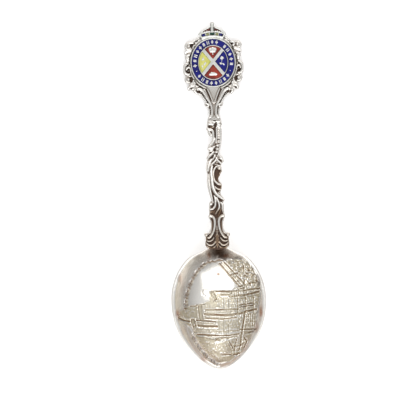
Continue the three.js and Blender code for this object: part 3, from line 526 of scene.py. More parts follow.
# Each strand is (path, half-widths, lift of its middle above the spine).
STEM_STRANDS = [
    # cap under the finial
    ([(-2.5, 25.75), (-1.6, 26.2), (-0.5, 25.95), (0.0, 26.3)], [0.35, 0.62, 0.5, 0.3], 0.75),
    ([(-2.65, 26.9), (-1.4, 27.1), (-0.2, 26.8), (0.5, 26.4)], [0.26, 0.34, 0.36, 0.3], 0.65),
    ([(0.3, 27.1), (1.4, 26.95), (2.5, 26.7)], [0.26, 0.34, 0.2], 0.65),
    ([(0.7, 26.5), (1.5, 26.0), (2.3, 25.5)], [0.3, 0.38, 0.26], 0.7),
    ([(0.6, 25.5), (1.5, 25.1), (2.3, 24.8)], [0.32, 0.4, 0.3], 0.62),
    # scroll around the pierced eye on the left
    ([(-2.75, 25.0), (-2.3, 24.2), (-1.3, 23.95), (-0.65, 23.3), (-0.52, 22.4), (-0.46, 21.5), (-0.5, 20.6)],
     [0.28, 0.40, 0.46, 0.44, 0.40, 0.36, 0.34], 0.6),
    ([(-2.1, 24.0), (-1.95, 23.1), (-1.6, 22.3), (-1.0, 21.6)], [0.34, 0.38, 0.42, 0.36], 0.45),
    ([(0.0, 25.5), (-0.5, 25.1), (-1.1, 24.9), (-1.8, 25.0)], [0.3, 0.34, 0.3, 0.2], 0.36),
    # ribbed band on the right
    ([(0.72, 25.0), (0.76, 23.2), (0.74, 21.6), (0.6, 20.2), (0.3, 18.9)],
     [0.24, 0.27, 0.27, 0.26, 0.18], 0.72),
    ([(1.45, 24.9), (1.5, 23.2), (1.45, 21.4), (1.35, 20.0)], [0.5, 0.6, 0.6, 0.5], 0.0),
    ([(1.2, 20.3), (0.95, 18.6), (0.75, 17.0), (0.4, 15.6), (-0.3, 14.2)], [0.46, 0.5, 0.5, 0.42, 0.3], 0.2),
    ([(0.0, 20.2), (-0.25, 19.2), (-0.2, 18.2)], [0.26, 0.36, 0.26], 0.3),
    ([(2.12, 24.6), (2.2, 23.2), (2.18, 21.4), (2.1, 19.8), (1.9, 18.4), (1.7, 17.2), (1.5, 16.4)],
     [0.24, 0.26, 0.26, 0.24, 0.22, 0.2, 0.15], 0.62),
    # ridge that crosses to the lower left
    ([(-0.1, 21.3), (-0.2, 20.3), (-0.7, 19.3), (-1.45, 18.4), (-2.35, 17.6)],
     [0.2, 0.36, 0.4, 0.4, 0.36], 0.6),
    ([(-2.85, 17.1), (-2.2, 17.0), (-1.3, 17.2), (-0.4, 17.5), (0.0, 18.2)],
     [0.3, 0.36, 0.4, 0.36, 0.24], 0.72),
    ([(-1.7, 18.0), (-1.0, 18.0), (-0.5, 18.8)], [0.2, 0.24, 0.2], 0.5),
    ([(-0.5, 16.7), (-1.2, 16.35), (-2.3, 15.9)], [0.32, 0.34, 0.18], 0.62),
    ([(-0.3, 16.1), (-0.9, 15.3), (-1.7, 14.5), (-2.5, 13.7), (-3.0, 12.9)],
     [0.26, 0.36, 0.4, 0.36, 0.22], 0.68),
    # leaf on the right
    ([(1.35, 15.6), (1.35, 14.5), (2.0, 13.85), (2.9, 13.25)], [0.2, 0.26, 0.28, 0.18], 0.5),
    ([(1.3, 13.6), (2.1, 13.1), (3.1, 12.6)], [0.18, 0.26, 0.2], 0.45),
    ([(0.45, 14.1), (0.5, 13.1), (1.0, 12.4), (1.7, 11.8), (2.35, 11.3)], [0.25, 0.32, 0.34, 0.3, 0.2], 0.75),
    ([(0.35, 13.2), (-0.1, 12.3), (-0.8, 11.6), (-1.5, 10.9), (-1.7, 10.2)],
     [0.22, 0.3, 0.34, 0.34, 0.22], 0.75),
    ([(0.15, 11.7), (0.6, 11.95), (1.1, 11.7)], [0.2, 0.3, 0.18], 0.35),
    ([(0.15, 15.0), (-0.25, 13.9), (-0.95, 12.9), (-1.55, 12.1)], [0.22, 0.3, 0.3, 0.2], 0.5),
    ([(0.9, 14.9), (0.8, 13.9), (1.3, 13.0)], [0.18, 0.26, 0.2], 0.4),
    ([(-0.55, 11.4), (-0.1, 11.2), (0.6, 11.1), (1.3, 11.15)], [0.14, 0.2, 0.22, 0.16], 0.35),
    # broad band on the left, with its bright edge
    ([(-1.0, 13.4), (-1.7, 12.4), (-2.2, 11.3), (-2.5, 10.2), (-2.7, 9.2), (-2.9, 8.5)],
     [0.34, 0.5, 0.56, 0.56, 0.5, 0.34], 0.5),
    ([(-2.95, 12.2), (-3.0, 11.0), (-3.15, 9.8), (-3.2, 8.6)], [0.14, 0.18, 0.2, 0.16], 0.3),
    ([(-2.5, 7.9), (-2.45, 6.4), (-2.45, 4.6), (-2.35, 2.8), (-2.1, 1.2), (-1.75, -0.3), (-1.45, -1.8),
      (-1.1, -3.2)],
     [0.3, 0.44, 0.48, 0.46, 0.38, 0.32, 0.26, 0.2], 0.46),
    ([(-2.0, 7.4), (-1.95, 5.0), (-1.85, 3.0), (-1.5, 1.4), (-0.9, 0.2)], [0.3, 0.4, 0.4, 0.36, 0.2], 0.18),
    ([(-0.95, 10.9), (-1.35, 9.9), (-1.6, 8.6), (-1.55, 7.2), (-1.4, 6.0), (-1.35, 4.4), (-1.15, 3.0),
      (-0.75, 1.7), (-0.1, 0.5), (0.7, -0.3), (1.6, -1.0), (2.4, -1.5), (3.1, -1.95)],
     [0.26, 0.4, 0.42, 0.48, 0.52, 0.52, 0.5, 0.48, 0.46, 0.44, 0.38, 0.3, 0.18], 0.78),
    # ridge round the recess on the right
    ([(1.9, 10.7), (1.1, 10.65), (0.3, 10.3), (-0.35, 9.5), (-0.7, 8.5), (-0.78, 7.4), (-0.7, 6.4),
      (-0.5, 5.5), (-0.1, 4.75), (0.6, 4.1), (1.4, 3.75), (2.3, 3.6)],
     [0.2, 0.26, 0.28, 0.3, 0.3, 0.28, 0.28, 0.28, 0.3, 0.32, 0.28, 0.18], 0.75),
    ([(2.1, 9.3), (2.05, 8.6), (1.75, 8.2)], [0.24, 0.22, 0.18], 0.4),
    ([(-0.6, 3.3), (0.0, 2.6), (0.7, 2.15), (1.4, 2.0), (2.05, 2.0)], [0.2, 0.26, 0.28, 0.24, 0.16], 0.7),
    ([(0.0, 1.2), (0.6, 0.75), (1.2, 0.5), (1.7, 0.4)], [0.16, 0.22, 0.22, 0.14], 0.42),
    # leaves that leave the long band
    ([(-0.9, 0.0), (-0.45, -1.0), (-0.33, -2.2), (-0.33, -3.3), (-0.55, -4.2), (-1.1, -4.9), (-1.9, -5.2),
      (-2.75, -5.2)],
     [0.2, 0.28, 0.3, 0.3, 0.32, 0.32, 0.3, 0.2], 0.72),
    ([(-0.05, -0.7), (0.4, -1.7), (0.85, -2.8), (1.05, -3.9), (0.95, -4.8), (0.45, -5.6), (-0.1, -6.4),
      (-0.4, -7.2)],
     [0.2, 0.28, 0.3, 0.3, 0.3, 0.28, 0.24, 0.16], 0.72),
    ([(1.3, -2.5), (1.9, -3.1), (2.2, -4.0), (2.2, -5.0), (2.3, -6.0), (2.55, -6.9)],
     [0.24, 0.32, 0.34, 0.3, 0.26, 0.18], 0.6),
    ([(1.55, -4.2), (1.5, -5.3), (1.1, -6.4), (0.6, -7.6), (0.25, -8.8)], [0.14, 0.2, 0.22, 0.2, 0.14], 0.38),
    ([(-0.75, -5.6), (-1.0, -6.5), (-0.6, -7.5), (-0.2, -8.6)], [0.14, 0.2, 0.18, 0.12], 0.25),
    ([(0.05, -8.4), (0.0, -9.8), (0.0, -11.4), (0.0, -12.8)], [0.14, 0.2, 0.2, 0.16], 0.32),
    ([(-2.6, -2.85), (-2.0, -2.65), (-1.4, -2.9)], [0.16, 0.2, 0.16], 0.4),
    ([(-2.5, -6.3), (-1.6, -6.1), (-1.0, -6.6)], [0.14, 0.18, 0.14], 0.22),
]

# Beads on the stem as (x, y, radii, lift).
STEM_BEADS = [
    (1.25, 19.35, (0.66, 0.42), 0.7), (1.0, 18.1, (0.76, 0.5), 0.8), (0.78, 16.85, (0.74, 0.5), 0.8),
    (0.45, 15.65, (0.68, 0.46), 0.8), (-0.1, 14.55, (0.5, 0.42), 0.74), (-0.5, 13.7, (0.36, 0.36), 0.7),
    (1.42, 9.7, (0.86, 0.74), 0.66), (1.5, 7.88, (0.42, 0.38), 0.5), (-1.95, -3.3, (0.78, 0.64), 0.6),
]

NECK_STRANDS = [
    ([(2.95, -7.9), (2.3, -7.6), (1.6, -7.8), (1.05, -8.4), (0.74, -9.4), (0.72, -10.4), (0.86, -11.5),
      (1.15, -12.7), (1.65, -13.9), (2.3, -14.9), (3.1, -15.5), (3.7, -15.2)],
     [0.4, 0.46, 0.4, 0.36, 0.34, 0.33, 0.34, 0.36, 0.38, 0.38, 0.34, 0.24], 0.65),
    # outer rim of the beaded groove
    ([(2.6, -8.9), (2.05, -9.6), (1.85, -10.6), (1.85, -11.5), (2.1, -12.5), (2.6, -13.5), (3.1, -14.1)],
     [0.18, 0.22, 0.2, 0.2, 0.22, 0.24, 0.2], 0.35),
    # swags of the shell
    ([(1.05, -15.2), (1.6, -16.1), (2.4, -16.65), (3.3, -16.75), (3.95, -16.3)],
     [0.18, 0.28, 0.32, 0.28, 0.16], 0.42),
    ([(0.6, -16.5), (1.1, -17.5), (1.9, -18.15), (2.8, -18.2), (3.6, -17.7), (4.1, -17.0)],
     [0.18, 0.3, 0.34, 0.34, 0.3, 0.18], 0.4),
    ([(0.45, -18.0), (1.1, -18.9), (2.0, -19.3), (3.1, -19.05), (4.1, -18.3)],
     [0.16, 0.24, 0.26, 0.26, 0.18], 0.15),
]


def on_stem(path, lift):
    return [(x, y, float(spine(y)) + lift) for x, y in path]


SHEET_STEP = 0.15
SHEET_BEVEL = 0.3


def sheet(rows, middle, inset, low, high):
    """A plate between two edges, given as (y, left x, right x), whose faces follow middle(y)."""
    y0, left, right = np.array(sorted(rows)).T
    y = np.arange(y0[0], y0[-1] + SHEET_STEP / 2, SHEET_STEP)
    left, right = np.interp(y, y0, left) + inset, np.interp(y, y0, right) - inset
    verts = []
    for k in range(len(y)):
        z = float(middle(y[k]))
        soft = min(SHEET_BEVEL, (right[k] - left[k]) / 4)
        verts += [(left[k], y[k], z + (low + high) / 2), (left[k] + soft, y[k], z + low),
                  (right[k] - soft, y[k], z + low), (right[k], y[k], z + (low + high) / 2),
                  (right[k] - soft, y[k], z + high), (left[k] + soft, y[k], z + high)]
    faces = quads(len(y), 6, inward=True)
    faces.append(tuple(range(6)))
    faces.append(tuple(6 * (len(y) - 1) + j for j in range(5, -1, -1)))
    return np.array(verts), faces


def stem_ball(x, y, lift, radii):
    return ball((x, y, float(spine(y)) + lift), radii)


# Grains as (x, y, radius): on the ground of the stem's recess, and on the right half of the fan.
RECESS_GRAINS = [
    (0.55, 8.7, 0.2), (0.95, 8.2, 0.17), (0.3, 7.7, 0.17), (0.85, 7.2, 0.2), (0.35, 6.6, 0.18),
    (0.8, 6.1, 0.17), (0.6, 5.3, 0.18), (1.1, 4.8, 0.16), (1.0, 2.75, 0.16), (1.6, 2.85, 0.16),
]
FAN_GRAINS = [
    (1.75, -15.0, 0.2), (2.3, -15.75, 0.18), (3.0, -16.1, 0.16), (1.3, -16.7, 0.2), (2.0, -17.35, 0.2),
    (2.9, -17.45, 0.18),
]
FAN_EDGE = [(1.5, -12.6), (2.9, -13.9), (4.3, -15.4), (4.15, -16.2), (4.4, -17.4), (4.3, -18.6),
            (3.3, -19.35)]
FAN_THICKNESS = 0.85
BOLDER = 1.3              # how much bolder the strands are cast than their listed half-widths


def stem_parts():
    """A strand is a ridge, a wider skirt below it and, on the stem, an underside."""
    parts = [sheet(STEM_EDGES, spine, 0.06, -0.5, 0.2)]
    for path, half, lift in STEM_STRANDS:
        half = BOLDER * np.array(half)
        parts += [tube(on_stem(path, lift), half, 0.72), tube(on_stem(path, lift * 0.35), 1.35 * half, 0.7),
                  tube(on_stem(path, -lift * 0.9), 0.75 * half)]
    for x, y, (rx, ry), lift in STEM_BEADS:
        parts += [stem_ball(x, y, lift * 0.8, (rx, ry * 1.1, 0.85 * rx)),
                  stem_ball(x, y, -lift, (rx * 0.9, ry * 0.9, 0.36))]
    for path, half, lift in NECK_STRANDS:
        above_fan = path[0][1] > NECK_Y
        half = (BOLDER if above_fan else 1.0) * np.array(half)
        for side in (path, mirror_x(path)):
            parts += [tube(on_stem(side, lift), half, 0.72),
                      tube(on_stem(side, lift * 0.35), 1.3 * half, 0.7)]
            if above_fan:
                parts.append(tube(on_stem(side, -0.55), 0.7 * half))
    parts += [stem_ball(x, y, 0.22, r) for x, y, r in RECESS_GRAINS]
    # ladder between the two edges of the ribbed band
    parts += [stem_ball(1.45, 24.3 - i * 0.62, 0.6, (0.55, 0.2, 0.3)) for i in range(8)]
    # beads along the dark grooves of the neck
    for i in range(9):
        y = -9.2 - i * 0.66
        x = 1.36 + 0.26 * max(0.0, -y - 11.0) ** 1.25
        parts += [stem_ball(side * x, y, 0.28, (0.2, 0.22, 0.24)) for side in (-1, 1)]
    # shell fan with the two knobs at its shoulders, its middle leaf and the leaf's ribs
    outline = [*FAN_EDGE, (1.6, -19.75), (0.0, -19.85), (-1.6, -19.75), *mirror_x(FAN_EDGE)[::-1]]
    parts.append(prism(outline[::-1], TONGUE_TOP, TONGUE_TOP + FAN_THICKNESS))
    for side in (-1, 1):
        shoulder = [(side * x, y) for x, y in ((3.0, -14.0), (3.7, -13.75), (4.5, -14.0), (4.7, -14.7))]
        parts += [ball((side * 3.95, -14.5, NECK_HEIGHT + 0.3), (0.72, 0.66, 0.55)),
                  tube(on_stem(shoulder, 0.35), [0.16, 0.2, 0.2, 0.14])]
        parts += [ball((side * x, y, TONGUE_TOP + FAN_THICKNESS), r) for x, y, r in FAN_GRAINS]
    leaf = [(0, -12.8), (0, -14.6), (0, -16.6), (0, -18.6), (0, -19.6)]
    parts.append(tube(on_stem(leaf, 0.2), [0.14, 0.38, 0.46, 0.36, 0.2], 0.8))
    for side in (-1, 1):
        for k in range(4):
            y = -14.0 - k * 1.15
            rib = [(0.1 * side, y), (0.4 * side, y - 0.6), (0.62 * side, y - 1.4)]
            parts.append(tube(on_stem(rib, 0.45), [0.1, 0.14, 0.08], 0.9))
    return parts


# ---------------------------------------------------------------- finial frame

# Each strand is (path, half-widths, height of its middle, flatness).
FRAME_STRANDS = [
    # left side, from the crown down
    ([(-4.2, 57.9), (-5.1, 57.6), (-5.9, 57.0), (-6.1, 56.5)], [0.2, 0.28, 0.26, 0.14], 2.1, 1.2),
    ([(-4.3, 57.3), (-4.9, 57.0), (-5.3, 56.5)], [0.2, 0.24, 0.16], 1.9, 1.2),
    ([(-5.2, 56.4), (-5.9, 55.9), (-6.3, 55.4)], [0.2, 0.26, 0.16], 1.9, 1.2),
    ([(-5.9, 57.0), (-6.8, 56.7), (-7.5, 56.3), (-7.4, 55.8)], [0.22, 0.3, 0.3, 0.18], 2.2, 1.2),
    ([(-6.0, 56.3), (-6.7, 56.0), (-7.1, 55.4)], [0.2, 0.26, 0.16], 2.0, 1.2),
    ([(-6.4, 55.2), (-7.0, 54.7), (-7.3, 54.0)], [0.2, 0.26, 0.18], 2.0, 1.2),
    ([(-6.6, 55.9), (-7.8, 56.0), (-9.1, 55.7), (-9.75, 54.8), (-9.3, 53.8), (-8.3, 53.6), (-7.8, 54.3)],
     [0.3, 0.42, 0.45, 0.45, 0.42, 0.38, 0.3], 2.3, 1.3),
    ([(-7.2, 53.3), (-8.2, 53.35), (-9.3, 53.1), (-10.3, 52.4)], [0.24, 0.3, 0.3, 0.18], 2.3, 1.4),
    ([(-7.4, 52.7), (-8.4, 52.75), (-9.4, 52.5), (-10.5, 51.9)], [0.2, 0.26, 0.26, 0.16], 2.1, 1.5),
    ([(-7.7, 52.1), (-8.6, 52.15), (-9.4, 51.8)], [0.2, 0.26, 0.18], 1.9, 1.5),
    ([(-8.0, 51.4), (-9.1, 51.5), (-9.8, 50.7), (-9.2, 50.0), (-8.4, 50.4)],
     [0.3, 0.36, 0.36, 0.34, 0.25], 2.1, 1.4),
    ([(-8.3, 49.6), (-9.2, 49.5), (-9.7, 48.9)], [0.3, 0.36, 0.2], 2.0, 1.4),
    ([(-8.6, 48.7), (-9.7, 48.2), (-10.5, 47.2), (-10.65, 46.0), (-10.2, 44.9), (-9.2, 44.3), (-8.3, 44.7)],
     [0.3, 0.42, 0.46, 0.46, 0.44, 0.38, 0.28], 2.3, 1.4),
    ([(-8.2, 45.2), (-8.15, 46.3), (-8.9, 47.0), (-9.6, 46.6), (-9.75, 45.8)],
     [0.28, 0.32, 0.32, 0.28, 0.2], 2.2, 1.3),
    ([(-7.9, 43.7), (-9.1, 43.75), (-10.0, 43.1), (-9.95, 42.0), (-9.1, 41.5), (-8.3, 41.8)],
     [0.28, 0.34, 0.36, 0.36, 0.34, 0.25], 1.9, 1.4),
    ([(-7.1, 42.6), (-7.4, 41.4), (-8.5, 40.7), (-9.0, 40.4)], [0.3, 0.4, 0.38, 0.2], 2.1, 1.3),
    ([(-6.5, 41.6), (-7.2, 40.4), (-8.6, 39.9), (-9.2, 39.2), (-8.6, 38.5)],
     [0.3, 0.42, 0.42, 0.38, 0.2], 2.2, 1.3),
    ([(-6.1, 40.6), (-7.0, 39.4), (-8.2, 38.7)], [0.3, 0.38, 0.2], 2.1, 1.3),
    ([(-5.2, 40.0), (-6.5, 39.4), (-6.9, 38.4), (-6.3, 37.6), (-5.8, 37.0)],
     [0.4, 0.5, 0.45, 0.35, 0.15], 2.0, 1.3),
    # right side, from the crown down
    ([(4.2, 58.0), (4.9, 57.7), (5.6, 57.2), (6.4, 56.8)], [0.2, 0.28, 0.28, 0.14], 2.1, 1.2),
    ([(4.3, 57.3), (5.0, 57.0), (5.6, 56.5)], [0.2, 0.26, 0.16], 1.9, 1.2),
    ([(5.3, 56.3), (6.0, 56.2), (6.6, 55.8)], [0.2, 0.26, 0.18], 1.9, 1.2),
    ([(5.9, 55.6), (6.5, 55.2), (6.9, 54.5)], [0.2, 0.24, 0.16], 1.9, 1.2),
    ([(6.3, 55.9), (7.2, 56.2), (8.0, 55.6), (7.7, 54.9), (7.0, 54.9)],
     [0.3, 0.38, 0.4, 0.36, 0.28], 2.4, 1.3),
    ([(7.9, 56.0), (9.1, 56.0), (10.1, 55.4), (10.0, 54.5), (9.0, 54.3), (8.3, 54.8)],
     [0.3, 0.42, 0.44, 0.42, 0.38, 0.28], 2.2, 1.3),
    ([(7.4, 54.0), (8.4, 54.0), (9.4, 53.7), (10.4, 53.1)], [0.24, 0.3, 0.3, 0.18], 2.3, 1.4),
    ([(7.6, 53.4), (8.6, 53.4), (9.7, 53.0), (10.7, 52.4)], [0.2, 0.26, 0.26, 0.16], 2.1, 1.5),
    ([(7.9, 52.8), (8.8, 52.75), (9.7, 52.2)], [0.2, 0.26, 0.18], 1.9, 1.5),
    ([(8.3, 52.0), (9.3, 52.0), (9.9, 51.2), (9.3, 50.5), (8.6, 50.9)],
     [0.3, 0.36, 0.36, 0.34, 0.25], 2.1, 1.4),
    ([(8.6, 50.0), (9.5, 50.0), (9.9, 49.4)], [0.3, 0.36, 0.2], 2.0, 1.4),
    ([(8.9, 49.2), (10.0, 48.7), (10.75, 47.6), (10.9, 46.4), (10.5, 45.2), (9.6, 44.6), (8.8, 44.9)],
     [0.3, 0.42, 0.46, 0.46, 0.44, 0.38, 0.28], 2.3, 1.4),
    ([(8.7, 45.6), (8.6, 46.7), (9.2, 47.5), (10.0, 47.1), (10.05, 46.2)],
     [0.28, 0.32, 0.32, 0.28, 0.2], 2.2, 1.3),
    ([(8.1, 43.9), (9.2, 44.1), (10.2, 43.4), (10.1, 42.3), (9.3, 41.8), (8.5, 42.1)],
     [0.28, 0.34, 0.36, 0.36, 0.34, 0.25], 1.9, 1.4),
    ([(7.3, 42.9), (7.6, 41.7), (8.6, 41.0), (9.1, 40.6)], [0.3, 0.4, 0.38, 0.2], 2.1, 1.3),
    ([(6.7, 41.7), (7.4, 40.5), (8.6, 40.0), (9.0, 39.3), (8.4, 38.7)],
     [0.3, 0.42, 0.42, 0.38, 0.2], 2.2, 1.3),
    ([(6.3, 40.7), (7.2, 39.5), (8.1, 38.8)], [0.3, 0.38, 0.2], 2.1, 1.3),
    ([(5.2, 40.0), (6.5, 39.3), (7.0, 38.3), (6.6, 37.6), (6.5, 36.9)],
     [0.4, 0.5, 0.45, 0.35, 0.15], 2.0, 1.3),
]

# Beads of the frame as (x, y, radius, height).
FRAME_BEADS = [
    (-8.65, 54.7, 0.62, 2.6), (-9.1, 42.6, 0.72, 2.3), (-9.15, 45.7, 0.3, 1.9), (-5.75, 38.95, 0.7, 2.3),
    (9.15, 55.1, 0.6, 2.5), (9.35, 42.95, 0.72, 2.3), (9.5, 46.1, 0.3, 1.9), (5.85, 38.85, 0.7, 2.3),
    (-9.0, 50.75, 0.3, 2.2), (9.2, 51.25, 0.3, 2.2),
]

# The same strand on both sides of the neck.
FRAME_NECK = [
    ([(6.3, 38.8), (5.2, 39.0), (4.1, 38.3), (3.2, 37.0), (2.45, 35.6), (1.75, 34.4), (1.15, 33.3),
      (0.82, 32.2), (0.72, 31.0), (0.7, 30.0), (0.85, 29.2), (1.4, 28.6), (2.25, 28.2)],
     [0.4, 0.5, 0.46, 0.42, 0.4, 0.38, 0.34, 0.32, 0.31, 0.31, 0.34, 0.42, 0.36], 2.35, 1.1),
    ([(3.6, 39.2), (2.75, 37.4), (1.95, 35.6), (1.25, 34.0)], [0.26, 0.28, 0.26, 0.18], 2.2, 1.0),
    ([(2.35, 39.3), (1.5, 37.3), (0.75, 35.3), (0.15, 33.7)], [0.22, 0.24, 0.22, 0.16], 2.2, 1.0),
    ([(5.9, 37.5), (4.7, 36.7), (3.65, 35.5), (2.95, 34.5), (2.35, 33.9)],
     [0.26, 0.28, 0.26, 0.24, 0.16], 1.9, 1.0),
    ([(1.3, 32.9), (2.2, 33.3), (3.1, 33.75), (3.5, 33.6)], [0.24, 0.34, 0.3, 0.16], 2.1, 1.0),
    ([(1.6, 32.5), (2.4, 32.5), (3.1, 32.9)], [0.16, 0.2, 0.14], 1.8, 1.0),
    ([(2.15, 32.1), (1.8, 31.3), (1.68, 30.3), (1.78, 29.3)], [0.22, 0.22, 0.2, 0.18], 1.9, 1.0),
]

# Edges of the neck as (y, left x, right x).
NECK_EDGES = [
    (41.5, -7.6, 7.6), (39.4, -7.6, 7.4), (38.3, -7.0, 6.8), (37.4, -6.2, 6.1), (36.6, -4.8, 4.8),
    (36.0, -4.1, 4.0), (35.0, -3.5, 3.4), (34.2, -3.1, 3.0), (33.5, -3.7, 3.6), (32.8, -3.6, 3.4),
    (32.3, -2.6, 2.5), (31.8, -2.3, 2.25), (31.0, -2.0, 1.95), (30.0, -1.9, 1.85), (29.2, -1.95, 1.95),
    (28.6, -2.3, 2.4), (27.5, -2.65, 2.65),
]


def at_height(path, z):
    return [(x, y, z) for x, y in path]


# Outer edge of the plate behind the scrolls, on the right side from the crown down.
FRAME_EDGE = [
    (4.2, 57.6), (5.8, 57.0), (7.3, 56.0), (8.9, 55.7), (9.7, 54.8), (9.1, 53.7), (10.0, 52.4), (9.4, 51.7),
    (9.7, 50.7), (9.2, 49.9), (9.6, 49.0), (10.3, 47.8), (10.5, 46.3), (10.1, 45.0), (9.3, 44.2), (9.8, 43.2),
    (9.8, 42.0), (9.1, 41.4), (8.8, 40.2), (8.9, 39.3), (7.6, 38.7), (6.9, 38.0), (6.0, 37.2),
]


BACKING = 1.35            # thickness of the plate behind the scrolls
FRAME_BOLDER, FRAME_NECK_BOLDER = 1.4, 1.35


def frame_parts():
    """The plate, a rail round the badge, the neck with the two steps of its V, and the scrolls over them."""
    parts = [
        prism([*FRAME_EDGE[::-1], *mirror_x(FRAME_EDGE)], 0, BACKING),
        ellipse_rail(RING_OUTER + 0.95, 1.4, 0.6),
        sheet(NECK_EDGES, lambda y: 0.85, 0.15, -0.85, 0.75),
        prism([(-2.3, 39.8), (0.0, 34.3), (2.3, 39.8)], 1.0, 2.05),
        prism([(-4.2, 39.8), (-1.3, 34.0), (0.0, 33.6), (1.3, 34.0), (4.2, 39.8)], 1.0, 1.78),
    ]
    for path, half, height, flatness in FRAME_STRANDS:
        half = FRAME_BOLDER * np.array(half)
        parts += [tube(at_height(path, height - 0.1), half, flatness / 1.5),
                  tube(at_height(path, 0.95), half, 1.9)]
    for path, half, height, flatness in FRAME_NECK:
        half = FRAME_NECK_BOLDER * np.array(half)
        parts += [tube(at_height(side, height), half, flatness / 1.35) for side in (path, mirror_x(path))]
    for x, y, radius, height in FRAME_BEADS:
        parts += [ball((x, y, height), (radius, radius, radius * 1.05)),
                  ball((x, y, 1.2), (radius * 1.2, radius * 1.2, 1.2))]
    # beads in the dark grooves of the neck, and the slots of its foot
    for side in (-1, 1):
        parts += [ball((side * (5.15 - 0.44 * i), 38.25 - 0.6 * i, 1.75), (0.24, 0.24, 0.3))
                  for i in range(6)]
        parts += [ball((side * 1.28, 31.5 - 0.68 * i, 1.75), (0.2, 0.2, 0.28)) for i in range(4)]
        slot = [(0, 30.2, 1.9), (side * 0.12, 29.0, 2.1), (side * 0.3, 27.7, 2.2)]
        parts.append(tube(slot, [0.1, 0.2, 0.16]))
    return parts


# ---------------------------------------------------------------- badge plate


def ring_point(angle, radii):
    return BADGE[0] + radii[0] * math.cos(angle), BADGE[1] + radii[1] * math.sin(angle)


def ellipse_rail(radii, z, width, flatness=1.0, count=72):
    """A rounded wall along an ellipse."""
    angles = np.arange(count + 1) * TURN / count
    path = [(*ring_point(a, radii), z) for a in angles]
    sides = 10
    verts = []
    for x, y, _ in path[:-1]:
        out = np.array([(x - BADGE[0]) / radii[0] ** 2, (y - BADGE[1]) / radii[1] ** 2])
        out /= np.linalg.norm(out)
        for j in range(sides):
            a = j * TURN / sides
            verts.append((x + out[0] * width * math.cos(a), y + out[1] * width * math.cos(a),
                          z + width * flatness * math.sin(a)))
    return np.array(verts), quads(count, sides, closed=True, inward=True)


STOPS = (204, 336)        # the two small marks between the upper row and the lower
STUD_ANGLES = [*STOPS] + [-5 + 13.8 * i for i in range(15) if i != 5] + [220 + 14.4 * i for i in range(8)]


def stud_parts():
    """Small marks reserved in the ring: a lozenge, a pair of bars, a square and a cross by turns.

    Each shape is (offset along the ring, half-length, half-width, whether it is a lozenge).
    """
    parts = []
    middle = (RING_OUTER + RING_INNER) / 2
    for i, degrees in enumerate(STUD_ANGLES):
        angle = math.radians(degrees)
        x, y = ring_point(angle, middle)
        r = np.array([math.cos(angle), math.sin(angle)])
        s = np.array([-r[1], r[0]])
        if degrees in STOPS:
            shapes = [(0.0, 0.28, 0.28, True)]
        else:
            shapes = ([(0.0, 0.78, 0.56, True)], [(-0.31, 0.66, 0.20, False), (0.31, 0.66, 0.20, False)],
                      [(0.0, 0.60, 0.44, False)], [(0.0, 0.72, 0.21, False), (0.0, 0.23, 0.56, False)])[i % 4]
        for aside, long, wide, lozenge in shapes:
            if lozenge:
                corners = [r * long, s * wide, -r * long, -s * wide]
            else:
                corners = [r * long - s * wide, r * long + s * wide,
                           -r * long + s * wide, -r * long - s * wide]
            outline = [(x + c[0] + s[0] * aside, y + c[1] + s[1] * aside) for c in corners]
            parts.append(prism(outline, CELL_FLOOR - 0.2, PLATE_FRONT + 0.06))
    return parts


def wall_point(start, direction, radii):
    """Where a ray from inside the badge meets the ellipse of those radii."""
    a, b = (start - BADGE) / radii, direction / radii
    half = a @ b
    return start + direction * (math.sqrt(half**2 - (b @ b) * (a @ a - 1)) - half) / (b @ b)


def crown_outline():
    right = [(3.7, 57.2), (4.3, 58.1), (4.9, 59.1), (4.1, 60.0), (3.1, 60.6), (2.1, 61.1), (1.1, 61.5),
             (0.5, 62.0)]
    return [*right, *mirror_x(right)[::-1]]


def pellets(spots, z, stretch, height):
    """Flattened balls at (x, y, radius), longer or shorter along Y."""
    return [ball((x, y, z), (r, r * stretch, height)) for x, y, r in spots]


# Middle of the saltire, and the direction of its arms as shares of the field's half-sizes.
SALTIRE = np.array([BADGE[0] - 0.05, BADGE[1] + 0.35])
SALTIRE_REACH = (FIELD[0] * 0.70, FIELD[1] * 0.735)
ORNAMENT_FRONT = PLATE_FRONT - 0.25

# Ornaments of the quadrants as (pellets, their stretch and height, strokes over them).
ORNAMENTS = [
    # round tree
    ([(-0.85, 53.35, 0.72), (0.85, 53.35, 0.72), (0.0, 53.6, 0.72), (-0.6, 52.75, 0.7), (0.6, 52.75, 0.7),
      (0.0, 53.0, 0.85)], 1.0, 0.34, [([(0, 52.4), (0.05, 51.1)], [0.34, 0.26], 0.9)]),
    # trefoil on a stalk with two leaves
    ([(3.3, 50.3, 0.55), (2.95, 50.0, 0.42), (3.75, 50.1, 0.42), (3.35, 49.75, 0.42)], 1.0, 0.34,
     [([(3.3, 49.7), (3.2, 48.2)], [0.2, 0.22], 1.1),
      ([(2.35, 48.5), (3.0, 48.0), (3.4, 48.1)], [0.24, 0.46, 0.24], 0.9),
      ([(3.2, 48.2), (3.8, 47.9), (4.35, 47.3)], [0.24, 0.42, 0.2], 0.9)]),
    # low mound, then the pellets on it
    ([], 1.0, 0.34,
     [([(-1.8, 44.05), (-0.9, 44.3), (0.0, 44.5), (0.9, 44.3), (1.75, 44.1)],
       [0.26, 0.5, 0.62, 0.5, 0.3], 0.62),
      ([(-1.9, 43.9), (0.0, 43.85), (1.9, 43.9)], [0.16, 0.22, 0.16], 1.2)]),
    ([(-0.55, 44.85, 0.4), (0.35, 44.75, 0.42), (1.1, 44.45, 0.34)], 0.7, 0.36, []),
]
LEFT_PELLETS = [
    (-3.6, 50.0, 0.5), (-3.9, 49.4, 0.3), (-3.2, 49.5, 0.3), (-2.8, 48.3, 0.5), (-3.2, 47.8, 0.4),
    (-3.9, 47.3, 0.42), (-3.7, 46.6, 0.3),
]
